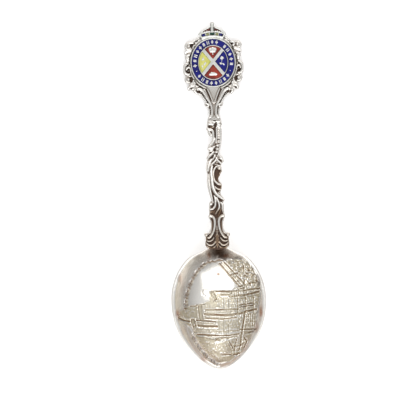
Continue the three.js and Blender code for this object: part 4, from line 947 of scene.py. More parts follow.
CROWN_ARCH = [(4.5, 58.6), (4.35, 59.3), (3.75, 60.0), (2.9, 60.55), (1.85, 61.05), (0.7, 61.5)]
CROWN_PEARLS = [(1.15, 59.95, 0.32), (1.9, 59.9, 0.46), (2.7, 59.75, 0.38), (3.4, 59.6, 0.3)]
# Rims of the crown's band, from the top down, as (right half, height, half-widths, flatness).
CROWN_RIMS = [
    ([(1.0, 59.72), (3.0, 59.35), (4.4, 58.9)], 3.05, [0.18, 0.2, 0.2, 0.2, 0.2, 0.18], 1.7),
    ([(0.0, 58.15), (2.4, 58.0), (4.2, 57.55)], 2.85, [0.4, 0.46, 0.48, 0.46, 0.4], 1.0),
    ([(0.0, 57.65), (2.4, 57.5), (4.0, 57.0)], 2.8, [0.26, 0.26, 0.26, 0.26, 0.26], 1.0),
]


def badge_parts():
    wall_mid = (RING_OUTER[0] + 0.22, RING_OUTER[1] + 0.22)
    inner_mid = (RING_INNER + FIELD) / 2
    parts = [
        prism(ellipse(BADGE, RING_OUTER + 0.35), 2.0, CELL_FLOOR),
        prism(crown_outline(), 2.1, CELL_FLOOR + 0.1),
        ellipse_rail(wall_mid, 2.95, 0.33, 1.6),
        ellipse_rail(inner_mid, 2.95, 0.21, 2.2),
        ellipse_rail(RING_OUTER + 0.30, 2.4, 0.26, 1.4),
    ]
    # saltire: each bar runs from wall to wall
    for slope in (1, -1):
        along = np.array([SALTIRE_REACH[0], slope * SALTIRE_REACH[1]])
        along /= np.linalg.norm(along)
        across = np.array([-along[1], along[0]]) * 0.60
        corners = [
            wall_point(SALTIRE + hand * across, way * along, inner_mid)
            for hand, way in ((-1, 1), (1, 1), (1, -1), (-1, -1))
        ]
        parts.append(prism(corners, CELL_FLOOR - 0.1, PLATE_FRONT))
    parts += stud_parts()
    for spots, stretch, height, strokes in ORNAMENTS:
        parts += pellets(spots, ORNAMENT_FRONT + 0.05, stretch, height)
        parts += [tube(at_height(path, ORNAMENT_FRONT), half, flatness) for path, half, flatness in strokes]
    parts += pellets(LEFT_PELLETS, ORNAMENT_FRONT + 0.03, 1.1, 0.32)
    # crown: ball, neck, upright, arches and the rims of its band
    parts += [ball((0, PLATE_HIGH[1] - 0.85, 2.75), 0.85, 14, 20), ball((0, 61.65, 2.75), (0.95, 0.28, 0.6)),
              ball((0, 61.2, 2.85), (0.6, 0.3, 0.6)),
              prism([(-0.5, 59.5), (0.5, 59.5), (0.42, 61.9), (-0.42, 61.9)], 2.2, PLATE_FRONT)]
    for side in (-1, 1):
        arch = [(side * x, y, 2.95) for x, y in CROWN_ARCH]
        parts += [tube(arch, [0.46, 0.46, 0.40, 0.36, 0.34, 0.38], 0.9),
                  ball((side * 4.6, 58.95, 2.95), (0.5, 0.62, 0.42)),
                  ball((side * 4.15, 58.2, 2.95), (0.4, 0.55, 0.42))]
        parts += pellets([(side * x, y, r) for x, y, r in CROWN_PEARLS], 3.15, 0.9, 0.34)
    for right, height, half, flatness in CROWN_RIMS:
        left = [p for p in mirror_x(right)[::-1] if p[0] < 0]
        parts.append(tube(at_height([*left, *right], height), half, flatness))
    return parts


# ---------------------------------------------------------------- enamel fills


DIP, DIP_REACH = 0.10, 0.18     # how far the glass dips at a wall, and over what width


def enamel_sheet(name, outline, centre, dome=0.05):
    """A closed slab of fired glass in a cell: its surface dips at the walls and swells in the middle.

    edge is 1 at the cell wall and 0 further in.
    """
    outline = np.asarray(outline, float)
    n, rings = len(outline), 14
    verts, edge = [], []
    for i in range(rings + 1):
        s = 1 - i / rings
        ring = centre + (outline - centre) * s
        inward = np.linalg.norm(outline - ring, axis=1)
        drop = DIP * np.exp(-inward / DIP_REACH)
        lift = dome * (1 - s * s)
        verts.append(np.c_[ring, ENAMEL_TOP - drop + lift])
        edge.append(np.exp(-inward / 0.35))
    bottom = np.c_[outline, np.full(n, CELL_FLOOR)]
    verts = np.vstack([*verts, bottom])
    edge = np.concatenate([*edge, np.ones(n)])
    faces = quads(rings + 1, n)
    last = (rings + 1) * n
    faces += [((j + 1) % n, j, last + j, last + (j + 1) % n) for j in range(n)]
    faces.append(tuple(last + j for j in range(n - 1, -1, -1)))
    obj = new_object(name, verts, faces)
    set_attribute(obj, "edge", edge[: len(obj.data.vertices)])
    return obj


def enamel_ring():
    """The blue border as one closed band, with the same dip at both walls."""
    around, across = 220, 16
    verts, edge = [], []
    for i in range(around):
        angle = i * TURN / around
        inner = np.array(ring_point(angle, RING_INNER + 0.02))
        outer = np.array(ring_point(angle, RING_OUTER))
        width = np.linalg.norm(outer - inner)
        for j in range(across + 1):
            t = j / across
            near = min(t, 1 - t) * width
            x, y = inner + (outer - inner) * t
            drop, dome = DIP * math.exp(-near / DIP_REACH), 0.06 * math.sin(math.pi * t)
            verts.append((x, y, ENAMEL_TOP - drop + dome))
            edge.append(math.exp(-near / 0.4))
        for point in (outer, inner):
            verts.append((*point, CELL_FLOOR))
            edge.append(1.0)
    obj = new_object("blue_ring", verts, quads(around, across + 3, closed=True))
    set_attribute(obj, "edge", edge)
    return obj


def quadrant_outline(turn, count=28):
    """Outline of a quadrant between the arms of the saltire and the inner wall."""
    arm = np.arctan2(SALTIRE_REACH[1], SALTIRE_REACH[0])
    opening = arm if turn % 180 == 0 else math.pi / 2 - arm
    facing = math.radians(turn)
    set_back = 0.55 / math.sin(opening)
    apex = SALTIRE + set_back * np.array([math.cos(facing), math.sin(facing)])
    ends = []
    for hand in (-1, 1):
        direction = np.array([math.cos(facing + hand * opening), math.sin(facing + hand * opening)])
        ends.append(wall_point(apex, direction, FIELD + 0.05))
    angles = [math.atan2((e - BADGE)[1] / FIELD[1], (e - BADGE)[0] / FIELD[0]) for e in ends]
    if angles[1] < angles[0]:
        angles[1] += TURN
    arc = [ring_point(a, FIELD + 0.05) for a in np.linspace(angles[0], angles[1], count)]
    first = [apex + (ends[0] - apex) * t for t in np.linspace(0, 1, 10)[:-1]]
    last = [ends[1] + (apex - ends[1]) * t for t in np.linspace(0, 1, 10)[1:-1]]
    return np.array([*first, *arc, *last])


JEWEL_POWER = 0.7         # squares off the jewels' ellipses

# Jewels of the crown's band as (centre, half-sizes, material, slot).
JEWELS = {
    "left_blue": ((-3.15, 58.6), (0.62, 0.42), BLUE, "enamel_blue"),
    "left_yellow": ((-1.68, 58.95), (0.52, 0.34), PALE_YELLOW, "enamel_pale_yellow"),
    "centre_green": ((0.02, 59.08), (0.9, 0.40), GREEN, "enamel_green"),
    "right_yellow": ((1.72, 58.95), (0.52, 0.34), PALE_YELLOW, "enamel_pale_yellow"),
    "right_blue": ((3.1, 58.7), (0.62, 0.42), BLUE, "enamel_blue"),
}


def jewel_outline(centre, half):
    angles = np.arange(24) * TURN / 24
    c, s = np.cos(angles), np.sin(angles)
    x, y = np.sign(c) * np.abs(c) ** JEWEL_POWER, np.sign(s) * np.abs(s) ** JEWEL_POWER
    return np.c_[centre[0] + half[0] * x, centre[1] + half[1] * y]


def crown_panel(side):
    points = [(0.72, 59.8), (2.0, 59.7), (3.7, 59.3), (3.5, 59.9), (2.7, 60.4), (1.8, 60.85), (0.72, 61.2)]
    points = [(side * x, y) for x, y in points]
    return np.array(points if side > 0 else points[::-1])


# ---------------------------------------------------------------- bowl


def egg(phi):
    """Point of the outer edge of the lip in the direction phi."""
    s, c = np.sin(phi), np.cos(phi)
    reach = np.where(s < 0, BOWL_WIDEST - TIP, BOWL_LENGTH - (BOWL_WIDEST - TIP))
    taper = np.where(s < 0, 1 - TIP_TAPER * np.abs(s) ** TIP_POWER, 1)
    x = BOWL_WIDTH / 2 * c * taper
    dip = SHOULDER_DIP * np.exp(-(((np.abs(x) - SHOULDER_AT) / SHOULDER_SPREAD) ** 2))
    return x, BOWL_WIDEST + reach * s - np.where(s > 0, dip * s**2, 0)


def smoothstep(low, high, value):
    t = np.clip((value - low) / (high - low), 0, 1)
    return t * t * (3 - 2 * t)


def spot(x, y, centre, radii):
    """1 inside an ellipse, falling to 0 round its edge."""
    return np.exp(-(((x - centre[0]) / radii[0]) ** 2 + ((y - centre[1]) / radii[1]) ** 2) ** 2)


NOISE_CELLS = 160


def unevenness(x, y, size, seed):
    """Smooth random values from 0 to 1, that change over a distance of size."""
    values = np.random.default_rng(seed).random((NOISE_CELLS, NOISE_CELLS))
    u, v = x / size + 80, y / size + 150
    i, j = np.floor(u).astype(int), np.floor(v).astype(int)
    s, t = smoothstep(0, 1, u - i), smoothstep(0, 1, v - j)
    i, j = i % (NOISE_CELLS - 1), j % (NOISE_CELLS - 1)
    low = values[i, j] * (1 - s) + values[i + 1, j] * s
    high = values[i, j + 1] * (1 - s) + values[i + 1, j + 1] * s
    return low * (1 - t) + high * t


FAR = 1e3


class Relief:
    """Heights above the plain inside of the bowl, in millimetres, at points of its plan."""

    def __init__(self, x, y):
        # the lines waver a little, as if they had been cut by hand
        self.x = x + 0.16 * (unevenness(x, y, 1.1, 3) - 0.5) + 0.10 * (unevenness(x, y, 0.45, 4) - 0.5)
        self.y = y + 0.16 * (unevenness(x, y, 1.1, 5) - 0.5) + 0.10 * (unevenness(x, y, 0.45, 6) - 0.5)
        self.height, self.matte, self.dark_outline = np.zeros_like(x), np.zeros_like(x), np.zeros_like(x)

    def away(self, points):
        """Distance from a line through points."""
        nearest = np.full_like(self.x, FAR)
        for a, b in zip(points[:-1], points[1:]):
            a, b = np.array(a, float), np.array(b, float)
            d = b - a
            t = np.clip(((self.x - a[0]) * d[0] + (self.y - a[1]) * d[1]) / (d @ d), 0, 1)
            nearest = np.minimum(nearest, np.hypot(self.x - a[0] - t * d[0], self.y - a[1] - t * d[1]))
        return nearest

    def line(self, points, width, height):
        """A rounded ridge, or a groove where height is negative, through points."""
        width = width * 1.3 if height > 0 else width
        self.height += height * (1 - smoothstep(width * 0.35, width, self.away(points)))

    def outline(self, points, width, strength):
        """A thin dark ring round a ridge of that half-width."""
        edge = np.exp(-(((self.away(points) - width) / 0.14) ** 2))
        self.dark_outline = np.maximum(self.dark_outline, strength * edge)

    def inside(self, outline):
        """Signed distance to a polygon, negative inside."""
        crossing = np.zeros(self.x.shape, bool)
        closed = [*outline, outline[0]]
        for a, b in zip(closed[:-1], closed[1:]):
            if a[1] != b[1]:
                spans = (a[1] > self.y) != (b[1] > self.y)
                crossing ^= spans & (self.x < (b[0] - a[0]) * (self.y - a[1]) / (b[1] - a[1]) + a[0])
        distance = self.away(closed)
        return np.where(crossing, -distance, distance)

    def block(self, outline, height):
        """A raised flat area with soft edges."""
        self.height += height * smoothstep(0.16, -0.16, self.inside(outline))

    def bump(self, centre, radii, height, turn=0.0):
        c, s = math.cos(turn), math.sin(turn)
        dx, dy = self.x - centre[0], self.y - centre[1]
        u, v = (dx * c + dy * s) / radii[0], (-dx * s + dy * c) / radii[1]
        self.height += height * np.exp(-((u * u + v * v) ** 1.5))


# Edge of the embossed picture, from the top of the gable round the right side.
PICTURE = [
    (1.6, -24.6), (7.0, -23.4), (12.0, -24.6), (14.6, -29.5), (15.3, -34.5), (14.3, -41.0),
    (13.2, -47.0), (11.2, -52.0), (8.0, -57.0), (3.5, -60.6), (-1.0, -61.2), (-5.0, -58.6),
    (-8.8, -53.2), (-10.4, -48.6), (-12.6, -46.2), (-15.2, -44.4), (-14.4, -42.2), (-11.5, -40.6),
    (-7.4, -40.0), (-3.4, -38.8), (-3.2, -35.4), (-0.6, -35.0), (5.0, -35.0), (7.6, -33.6),
    (4.6, -29.6),
]


def town(r):
    """A generic riverside town: a gabled hall, long roofs, turrets, a quay, masts and small boats."""
    r.matte = smoothstep(0.35, -0.35, r.inside(PICTURE))
    coarse = smoothstep(3.0, 9.0, r.x) * smoothstep(-52.0, -44.0, r.y)
    stipple = unevenness(r.x, r.y, 0.42, 1) + 0.7 * unevenness(r.x, r.y, 0.8, 2) - 0.85
    r.height += r.matte * (0.10 + (0.07 + 0.13 * coarse) * stipple)
    # gable of the large hall, with its eaves
    r.block([(1.4, -24.4), (9.6, -33.8), (8.6, -34.6), (0.7, -25.4)], 0.22)
    r.line([(0.6, -25.0), (8.2, -34.3)], 0.30, 0.30)
    r.line([(1.5, -25.0), (9.4, -33.6)], 0.26, -0.34)
    r.line([(2.4, -24.6), (9.9, -33.0)], 0.26, 0.26)
    r.line([(4.6, -29.4), (7.2, -28.7)], 0.28, 0.30)
    r.line([(4.8, -29.9), (7.0, -29.3)], 0.24, -0.25)
    r.line([(7.4, -33.7), (9.5, -33.2)], 0.24, 0.26)
    r.line([(7.5, -34.2), (9.4, -33.7)], 0.24, -0.34)
    r.line([(7.5, -34.8), (9.5, -34.3)], 0.24, 0.22)
    # chimneys and dormers behind the gable
    for x, y in ((4.2, -24.6), (6.0, -26.2), (7.4, -25.2), (7.9, -27.6)):
        r.block([(x - 0.45, y - 0.8), (x + 0.45, y - 0.7), (x + 0.4, y + 0.7), (x - 0.4, y + 0.6)], 0.22)
        r.line([(x - 0.7, y + 0.8), (x + 0.7, y + 0.9)], 0.22, 0.16)
    # trees
    rng = np.random.default_rng(7)
    for x, y, size in ((9.3, -26.6, 1.2), (11.4, -27.0, 1.3), (12.9, -28.9, 1.3), (10.6, -29.6, 1.2),
                       (13.4, -31.6, 1.2), (9.6, -31.8, 1.0), (11.7, -32.4, 1.0)):
        for _ in range(14):
            dx, dy = rng.normal(0, size * 0.45, 2)
            r.bump((x + dx, y + dy), rng.uniform(0.22, 0.42, 2), rng.uniform(0.10, 0.24), rng.uniform(0, 3))
    # cornices of the long front
    r.line([(-0.7, -35.4), (8.0, -35.3), (14.9, -34.2)], 0.28, 0.24)
    r.line([(1.0, -36.0), (4.4, -36.2)], 0.26, -0.32)
    r.line([(1.0, -36.7), (4.4, -36.8)], 0.22, 0.16)
    r.line([(4.2, -37.3), (9.8, -36.7), (14.7, -35.4)], 0.34, 0.30)
    r.line([(4.4, -37.9), (9.8, -37.4), (14.6, -36.1)], 0.26, -0.22)
    for x in (4.9, 5.7, 6.5, 7.3):
        r.line([(x, -35.4), (x + 0.1, -37.2)], 0.2, 0.15)
    for x in (6.9, 9.9, 12.7):
        r.line([(x, -37.6), (x + 0.1, -43.2)], 0.24, 0.17)
    for x, y in ((7.6, -40.9), (10.4, -40.4)):
        r.line([(x, y), (x + 2.1, y + 0.25)], 0.28, -0.36)
        r.line([(x, y - 0.75), (x + 2.1, y - 0.5)], 0.22, -0.28)
        r.line([(x, y - 0.38), (x + 2.1, y - 0.13)], 0.18, 0.2)
        r.line([(x, y + 0.45), (x + 2.1, y + 0.7)], 0.2, 0.2)
    # turret on the left of the front
    r.block([(-3.0, -35.2), (-1.9, -35.0), (-0.5, -38.4), (-1.8, -38.9)], 0.32)
    r.line([(-3.3, -35.1), (-3.1, -36.4), (-1.9, -37.6), (-1.9, -38.8)], 0.22, -0.24)
    r.line([(-2.6, -35.2), (-1.0, -38.2)], 0.26, 0.14)
    r.line([(-1.8, -38.9), (-0.2, -38.6)], 0.22, -0.22)
    # cloud
    r.line([(-4.2, -34.6), (-5.4, -34.5), (-6.1, -35.4), (-5.9, -36.5), (-4.8, -36.9)], 0.24, 0.09)
    # lower range of roofs
    r.line([(-5.0, -41.9), (0.6, -42.1), (7.0, -41.9)], 0.26, 0.22)
    r.line([(-4.8, -42.5), (0.6, -42.7), (6.8, -42.5)], 0.22, -0.24)
    r.line([(-5.2, -43.5), (1.0, -44.1), (5.0, -44.0), (9.0, -43.2), (13.6, -41.8)], 0.42, 0.32)
    r.line([(-5.0, -44.3), (1.0, -44.9), (5.6, -44.8)], 0.22, -0.2)
    r.line([(-5.2, -45.1), (1.4, -45.6), (6.4, -45.0)], 0.26, 0.18)
    for x in (-4.3, -3.5):
        r.line([(x, -44.7), (x + 0.4, -44.75)], 0.2, -0.3)
    for x in (0.1, 1.9, 3.7):
        r.line([(x, -38.2), (x, -41.6)], 0.2, 0.10)
        r.line([(x - 0.2, -45.8), (x - 0.2, -50.6)], 0.24, 0.10)
    # towers on the left
    r.block([(-7.7, -40.4), (-6.0, -40.2), (-5.5, -45.4), (-7.1, -45.8)], 0.30)
    r.line([(-7.9, -40.4), (-7.8, -42.6), (-7.3, -45.6)], 0.22, -0.26)
    r.line([(-5.9, -40.6), (-6.0, -43.2), (-5.5, -45.4)], 0.22, -0.26)
    r.line([(-8.3, -40.2), (-5.4, -40.0)], 0.26, 0.2)
    r.line([(-10.6, -40.6), (-8.6, -40.5)], 0.2, 0.12)
    r.block([(-10.4, -45.0), (-9.0, -45.2), (-8.3, -48.0), (-9.8, -48.2)], 0.28)
    r.line([(-10.6, -45.2), (-9.9, -48.2)], 0.2, -0.22)
    r.line([(-8.8, -45.2), (-8.1, -47.8)], 0.2, -0.22)
    r.line([(-15.2, -43.0), (-14.3, -43.0), (-14.2, -43.8), (-15.0, -44.0), (-15.2, -43.0)], 0.2, 0.16)
    r.line([(-15.3, -44.2), (-12.8, -45.3), (-10.4, -46.0)], 0.28, 0.26)
    r.line([(-15.1, -44.8), (-12.8, -45.9), (-10.6, -46.6)], 0.24, -0.24)
    # low store with its roof
    r.line([(-8.3, -46.1), (-1.4, -47.0)], 0.28, -0.34)
    r.line([(-8.4, -45.6), (-1.3, -46.5)], 0.24, 0.22)
    r.line([(-8.5, -47.4), (-5.0, -48.0), (-0.8, -48.2)], 0.40, 0.30)
    r.line([(-8.4, -48.3), (-5.0, -48.9), (-0.9, -49.1)], 0.22, -0.16)
    r.line([(-9.4, -49.8), (-4.0, -50.2), (0.6, -50.0), (8.0, -49.8)], 0.2, 0.10)
    for x, y in ((3.4, -47.2), (2.2, -50.8), (-1.4, -50.6)):
        r.bump((x, y), (0.3, 0.3), -0.22)
    # quay and the small boat beside it
    r.line([(-8.2, -51.2), (-4.8, -51.7), (-1.4, -52.8)], 0.28, -0.36)
    r.line([(-8.0, -50.7), (-4.6, -51.1), (0.0, -51.6), (4.0, -51.5), (7.2, -50.9)], 0.28, 0.26)
    r.line([(0.2, -52.3), (3.2, -52.4), (6.6, -51.6)], 0.3, 0.18)
    r.bump((-0.7, -52.9), (0.95, 0.7), 0.36)
    r.bump((0.9, -52.6), (0.5, 0.6), 0.22)
    # mast with its yard and rigging
    r.line([(9.5, -42.8), (8.9, -46.4), (8.3, -49.6), (7.4, -55.0)], 0.30, 0.30)
    r.line([(10.0, -43.0), (9.4, -46.6), (8.8, -49.6)], 0.2, -0.2)
    r.line([(7.6, -49.4), (10.6, -49.1), (13.4, -49.0)], 0.24, 0.22)
    r.line([(7.8, -49.9), (13.0, -49.5)], 0.2, -0.2)
    for k in range(5):
        r.line([(10.0 + 0.8 * k, -43.6), (9.8 + 0.75 * k, -48.4)], 0.2, 0.12)
    r.line([(9.6, -45.4), (13.2, -44.6)], 0.2, -0.14)
    r.line([(9.4, -47.2), (13.0, -46.6)], 0.2, -0.14)
    # boats and tackle on the right
    r.line([(6.2, -52.8), (5.6, -55.0), (5.2, -57.6)], 0.26, 0.24)
    r.line([(8.0, -53.0), (7.2, -55.8), (6.2, -58.4)], 0.26, 0.24)
    r.line([(5.0, -54.6), (7.8, -54.2), (9.4, -53.2)], 0.24, -0.26)
    r.line([(5.2, -55.4), (8.2, -54.9)], 0.22, 0.2)
    r.line([(4.6, -57.4), (6.0, -57.2), (7.8, -56.8)], 0.24, -0.26)
    r.line([(4.9, -58.2), (7.2, -57.7)], 0.28, 0.26)
    r.line([(9.0, -52.0), (9.8, -53.8), (8.8, -55.6)], 0.24, 0.22)
    r.line([(3.2, -54.0), (4.0, -55.4), (4.6, -56.6)], 0.24, -0.3)
    r.line([(3.6, -53.8), (4.4, -55.2), (5.0, -56.4)], 0.2, 0.16)
    r.line([(0.4, -58.8), (4.0, -58.6)], 0.24, -0.26)
    r.line([(0.6, -58.3), (4.0, -58.1)], 0.2, 0.16)
    r.line([(10.6, -50.4), (12.4, -49.8)], 0.22, 0.2)
    r.line([(9.6, -51.2), (11.8, -50.6)], 0.2, -0.16)


BORDER = [(-5.0, -25.1), (-7.6, -27.7), (-9.9, -31.6), (-11.5, -35.8), (-12.2, -41.2)]
FLOURISH = [(-4.4, -24.9), (-3.6, -24.3), (-2.8, -24.6), (-2.0, -24.1), (-1.1, -24.4), (-0.2, -23.8),
            (0.9, -23.7), (1.7, -23.9)]
RIBBON = [(-10.6, -48.4), (-9.6, -51.8), (-7.6, -55.4), (-4.8, -58.8), (-1.2, -61.4)]
BORDER_MIDDLE = -42.0     # Y of the point that the marks turn round
BORDER_MARKS = 15


def stations(path):
    """Places evenly spaced along a path, with the directions outwards and along the border there."""
    found = []
    for x, y, _ in curve_points([(*p, 0) for p in path], BORDER_MARKS)[0]:
        turn = math.atan2(y - BORDER_MIDDLE, x)
        found.append((np.array([x, y]), np.array([math.cos(turn), math.sin(turn)]),
                      np.array([-math.sin(turn), math.cos(turn)])))
    return found


def border(r):
    """A border of bars, pellets and crosses on the left, and a ribbon with such marks at the lower left."""
    for i, (here, out, along) in enumerate(stations(BORDER)):
        bar = [here - out * 0.5, here + out * 0.5]
        if i % 3 == 0:
            marks = [[here, here + out * 0.01]]
            r.bump(here, (0.46, 0.46), 0.40)
        elif i % 3 == 1:
            marks = [[end + along * s for end in bar] for s in (-0.28, 0.28)]
        else:
            marks = [bar, [here - along * 0.35, here + along * 0.35]]
        for mark in marks:
            r.line(mark, 0.17, 0.30)
            r.outline(mark, 0.28 if len(marks) > 1 else 0.44, 0.55)
    # a thin flourish that joins the border to the gable
    r.line(FLOURISH, 0.18, 0.26)
    r.outline(FLOURISH, 0.26, 0.6)
    r.line(RIBBON, 1.35, 0.14)
    r.matte *= smoothstep(0.9, 1.3, r.away(RIBBON))
    for i, (here, out, along) in enumerate(stations(RIBBON)[2:]):
        bar = [here - out * 0.5, here + out * 0.5]
        if i % 3 == 0:
            r.bump(here, (0.42, 0.42), -0.36)
            r.outline([here, here + out * 0.01], 0.2, 0.6)
        else:
            r.line(bar, 0.24, -0.32)
            r.line([here - along * 0.32, here + along * 0.32], 0.16, -0.16)
            r.outline(bar, 0.1, 0.6)


# Warm toning, and darker spots inside the bowl that are partly grime and partly painted dark reflection,
# as (x, y, (reach across, reach along), strength).
TONING = [
    (0.1, -29.0, (0.65, 0.6), 1.0), (-15.0, -43.0, (0.8, 1.6), 0.7), (-13.0, -49.0, (0.8, 1.6), 0.35),
    (15.2, -42.5, (0.7, 3.0), 0.7), (13.6, -48.6, (0.8, 2.0), 0.5), (9.8, -56.0, (1.2, 1.6), 0.4),
    (-14.0, -29.6, (0.8, 1.6), 0.35), (-3.1, -21.6, (0.8, 2.0), 0.8), (2.8, -22.2, (2.2, 0.8), 0.8),
    (-6.4, -59.6, (1.6, 1.0), 0.4),
]
SHADE_AND_GRIME_SPOTS = [
    (0.1, -29.0, (0.5, 0.5), 0.7), (0.15, -31.4, (0.16, 2.2), 0.25), (14.6, -31.0, (0.9, 3.0), 0.5),
    (-14.3, -29.8, (0.8, 1.6), 0.3), (-7.4, -21.9, (2.6, 1.2), 0.35), (8.0, -22.6, (1.8, 1.2), 0.3),
    (-1.0, -60.6, (3.0, 1.0), 0.2),
]


# The turned lip, from the inner edge outwards, as (share of its width, height above the rim).
LIP = [(0.06, -0.04), (0.13, 0.0), (0.2, 0.08), (0.35, 0.13), (0.5, 0.15), (0.68, 0.15), (0.84, 0.11),
       (0.94, 0.03), (0.995, -0.12), (1.0, -0.24), (0.99, -0.40), (0.97, -0.56)]
AROUND = 576              # points round the bowl
PRESSED, BACK_RINGS = 138, 20   # rings of the inside, which carries the picture, and of the back
NEAR_MIDDLE = 0.004       # share of the radius where the rings end and a flat face closes them
RELIEF_SCALE = 1.6


def bowl():
    rim = BOWL_DEPTH + BOWL_WALL
    # Each ring of the section is (share of the inner edge, share of the outer edge, height).
    section = [(u, 0, BOWL_WALL + BOWL_DEPTH * u**WALL_POWER) for u in np.linspace(NEAR_MIDDLE, 1, PRESSED)]
    section += [(1 - v, v, rim + dz) for v, dz in LIP]
    back = np.linspace(1, NEAR_MIDDLE, BACK_RINGS)
    section += [(0.35 * u, 0.65 * u, (rim - 0.75) * u**WALL_POWER) for u in back]
    at_inner, at_outer, height = np.array(section).T
    phi = np.arange(AROUND) * TURN / AROUND
    ex, ey = egg(phi)
    # the lip is narrower towards the tip, and more so towards the stem
    width = LIP_WIDTH - 0.4 * np.clip(-np.sin(phi), 0, 1) ** 4 - 0.8 * np.clip(np.sin(phi), 0, 1) ** 4
    inner = 1 - width / np.hypot(ex, ey - BOWL_CENTRE)
    radius = at_inner[:, None] * inner + at_outer[:, None]
    x = radius * ex
    y = BOWL_CENTRE + radius * (ey - BOWL_CENTRE)
    z = height[:, None] + SHEER * ((y - BOWL_CENTRE) / (BOWL_LENGTH / 2)) ** 2 * radius
    relief = Relief(x[:PRESSED], y[:PRESSED])
    town(relief)
    border(relief)
    fade = smoothstep(1.0, 0.965, at_inner[:PRESSED])[:, None]
    z[:PRESSED] += RELIEF_SCALE * relief.height * fade
    matte, toning, shade_and_grime = np.zeros_like(z), np.zeros_like(z), np.zeros_like(z)
    matte[:PRESSED] = relief.matte * fade
    patchy = 0.55 + 0.9 * unevenness(x, y, 0.9, 8)
    for tx, ty, reach, strength in TONING:
        away = np.hypot((x - tx) / reach[0], (y - ty) / reach[1])
        toning = np.maximum(toning, strength * np.exp(-(away**2)))
    toning = np.clip(toning * patchy, 0, 1)
    toning[PRESSED + 4 :] = 0
    # painted dark reflection in front of the stem, with a ragged edge and a thin painted gleam through it
    ragged = 1.6 * (unevenness(x, y, 1.4, 9) - 0.5)
    neck = np.exp(-(((x - 0.5) / 4.8) ** 2)) * smoothstep(-24.8, -21.6, y + ragged - 0.2 * np.abs(x - 0.5))
    gleam = np.exp(-(((x + 0.3 - 0.35 * (y + 23.4)) / 0.28) ** 2))
    gleam = gleam * smoothstep(-25.0, -24.2, y) * smoothstep(-21.6, -22.4, y)
    neck *= 1 - 0.9 * gleam
    for gx, gy, reach, strength in SHADE_AND_GRIME_SPOTS:
        neck = np.maximum(neck, strength * spot(x, y, (gx, gy), reach))
    shade_and_grime[: PRESSED + 4] = neck[: PRESSED + 4]
    shade_and_grime[:PRESSED] = np.maximum(shade_and_grime[:PRESSED], relief.dark_outline * fade)
    # a darker band along the outer edge of the lip
    shade_and_grime[PRESSED + 8 : PRESSED + 14] = 0.4
    verts = np.stack([x, y, z], axis=2).reshape(-1, 3)
    rows = len(section)
    faces = quads(rows, AROUND)
    faces.append(tuple(range(AROUND - 1, -1, -1)))
    faces.append(tuple((rows - 1) * AROUND + j for j in range(AROUND)))
    # the heel: a tongue under the end of the stem, that runs out on the back of the bowl
    shell = len(verts)
    below = [(0, y, (rim - 1.0) * (abs(y - BOWL_CENTRE) / (BOWL_LENGTH / 2)) ** WALL_POWER + 0.45)
             for y in (-19.5, -21.5, -24.0, -26.5)]
    heel = tube([(0, -13.7, TONGUE_TOP - 0.55), (0, -16.6, TONGUE_TOP - 0.7), *below],
                [1.7, 2.5, 2.9, 2.6, 1.9, 0.8], 0.30, 28)
    all_verts, faces = gathered([(verts, faces), heel])
    obj = new_object("bowl_shell", all_verts, faces)
    ends = edge_ends(obj.data)
    normal = points_of(obj.data, "normal")
    cavity = np.einsum("ij,ij->i", relaxed(all_verts, ends, CAVITY_ROUNDS) - all_verts, normal)
    cavity[:shell].reshape(rows, AROUND)[PRESSED + 3 :] = 0
    cavity[shell:] = 0
    rest = np.zeros(len(all_verts) - shell)
    set_attribute(obj, "cavity", cavity)
    for name, values in (("matte", matte), ("toning", toning), ("shade_and_grime", shade_and_grime)):
        set_attribute(obj, name, np.concatenate([values.ravel(), rest]))
    return obj


# ---------------------------------------------------------------- assembly


# Darker places of the stem as (centre, radii, strength): the recesses on the right, the hollow between the
# leaves, the neck's grooves, a painted shadow under the cap's left roll and painted shade in the pierced eye.
STEM_PLACES = [
    ((0.95, 7.2), (1.5, 2.5), 2.4), ((1.5, 2.8), (1.3, 1.2), 1.6), ((0.0, -6.6), (2.6, 1.6), 1.6),
    ((-1.3, 25.0), (1.1, 0.5), 1.0), ((-1.3, 22.95), (0.32, 0.42), 2.0), ((-1.6, -11.0), (0.5, 2.6), 1.2),
    ((1.6, -11.0), (0.5, 2.6), 1.2),
]


def stem_tarnish_and_shade(x, y, z):
    """Darker on the fan, along its lower edge and in the deep hollows, lighter towards the seam; partly
    tarnish and partly painted shade and shadow.
    """
    tarnish_and_shade = 1.3 * smoothstep(-12.0, -16.0, y) - 0.3 * smoothstep(10.0, 17.0, y)
    tarnish_and_shade += 3.4 * smoothstep(-18.9, -19.4, y) + 0.8 * spot(x, y, (0, -16.4), (0.8, 3.0))
    for centre, radii, strength in STEM_PLACES:
        tarnish_and_shade += strength * spot(x, y, centre, radii)
    return tarnish_and_shade


def finial_age(x, y, z):
    """Less tarnish on the ground inside the V of the neck."""
    inside = smoothstep(0.3, -0.3, np.abs(x) - 0.46 * (y - 34.4))
    return -1.0 * inside * smoothstep(34.0, 35.0, y) * smoothstep(41.0, 40.0, y)


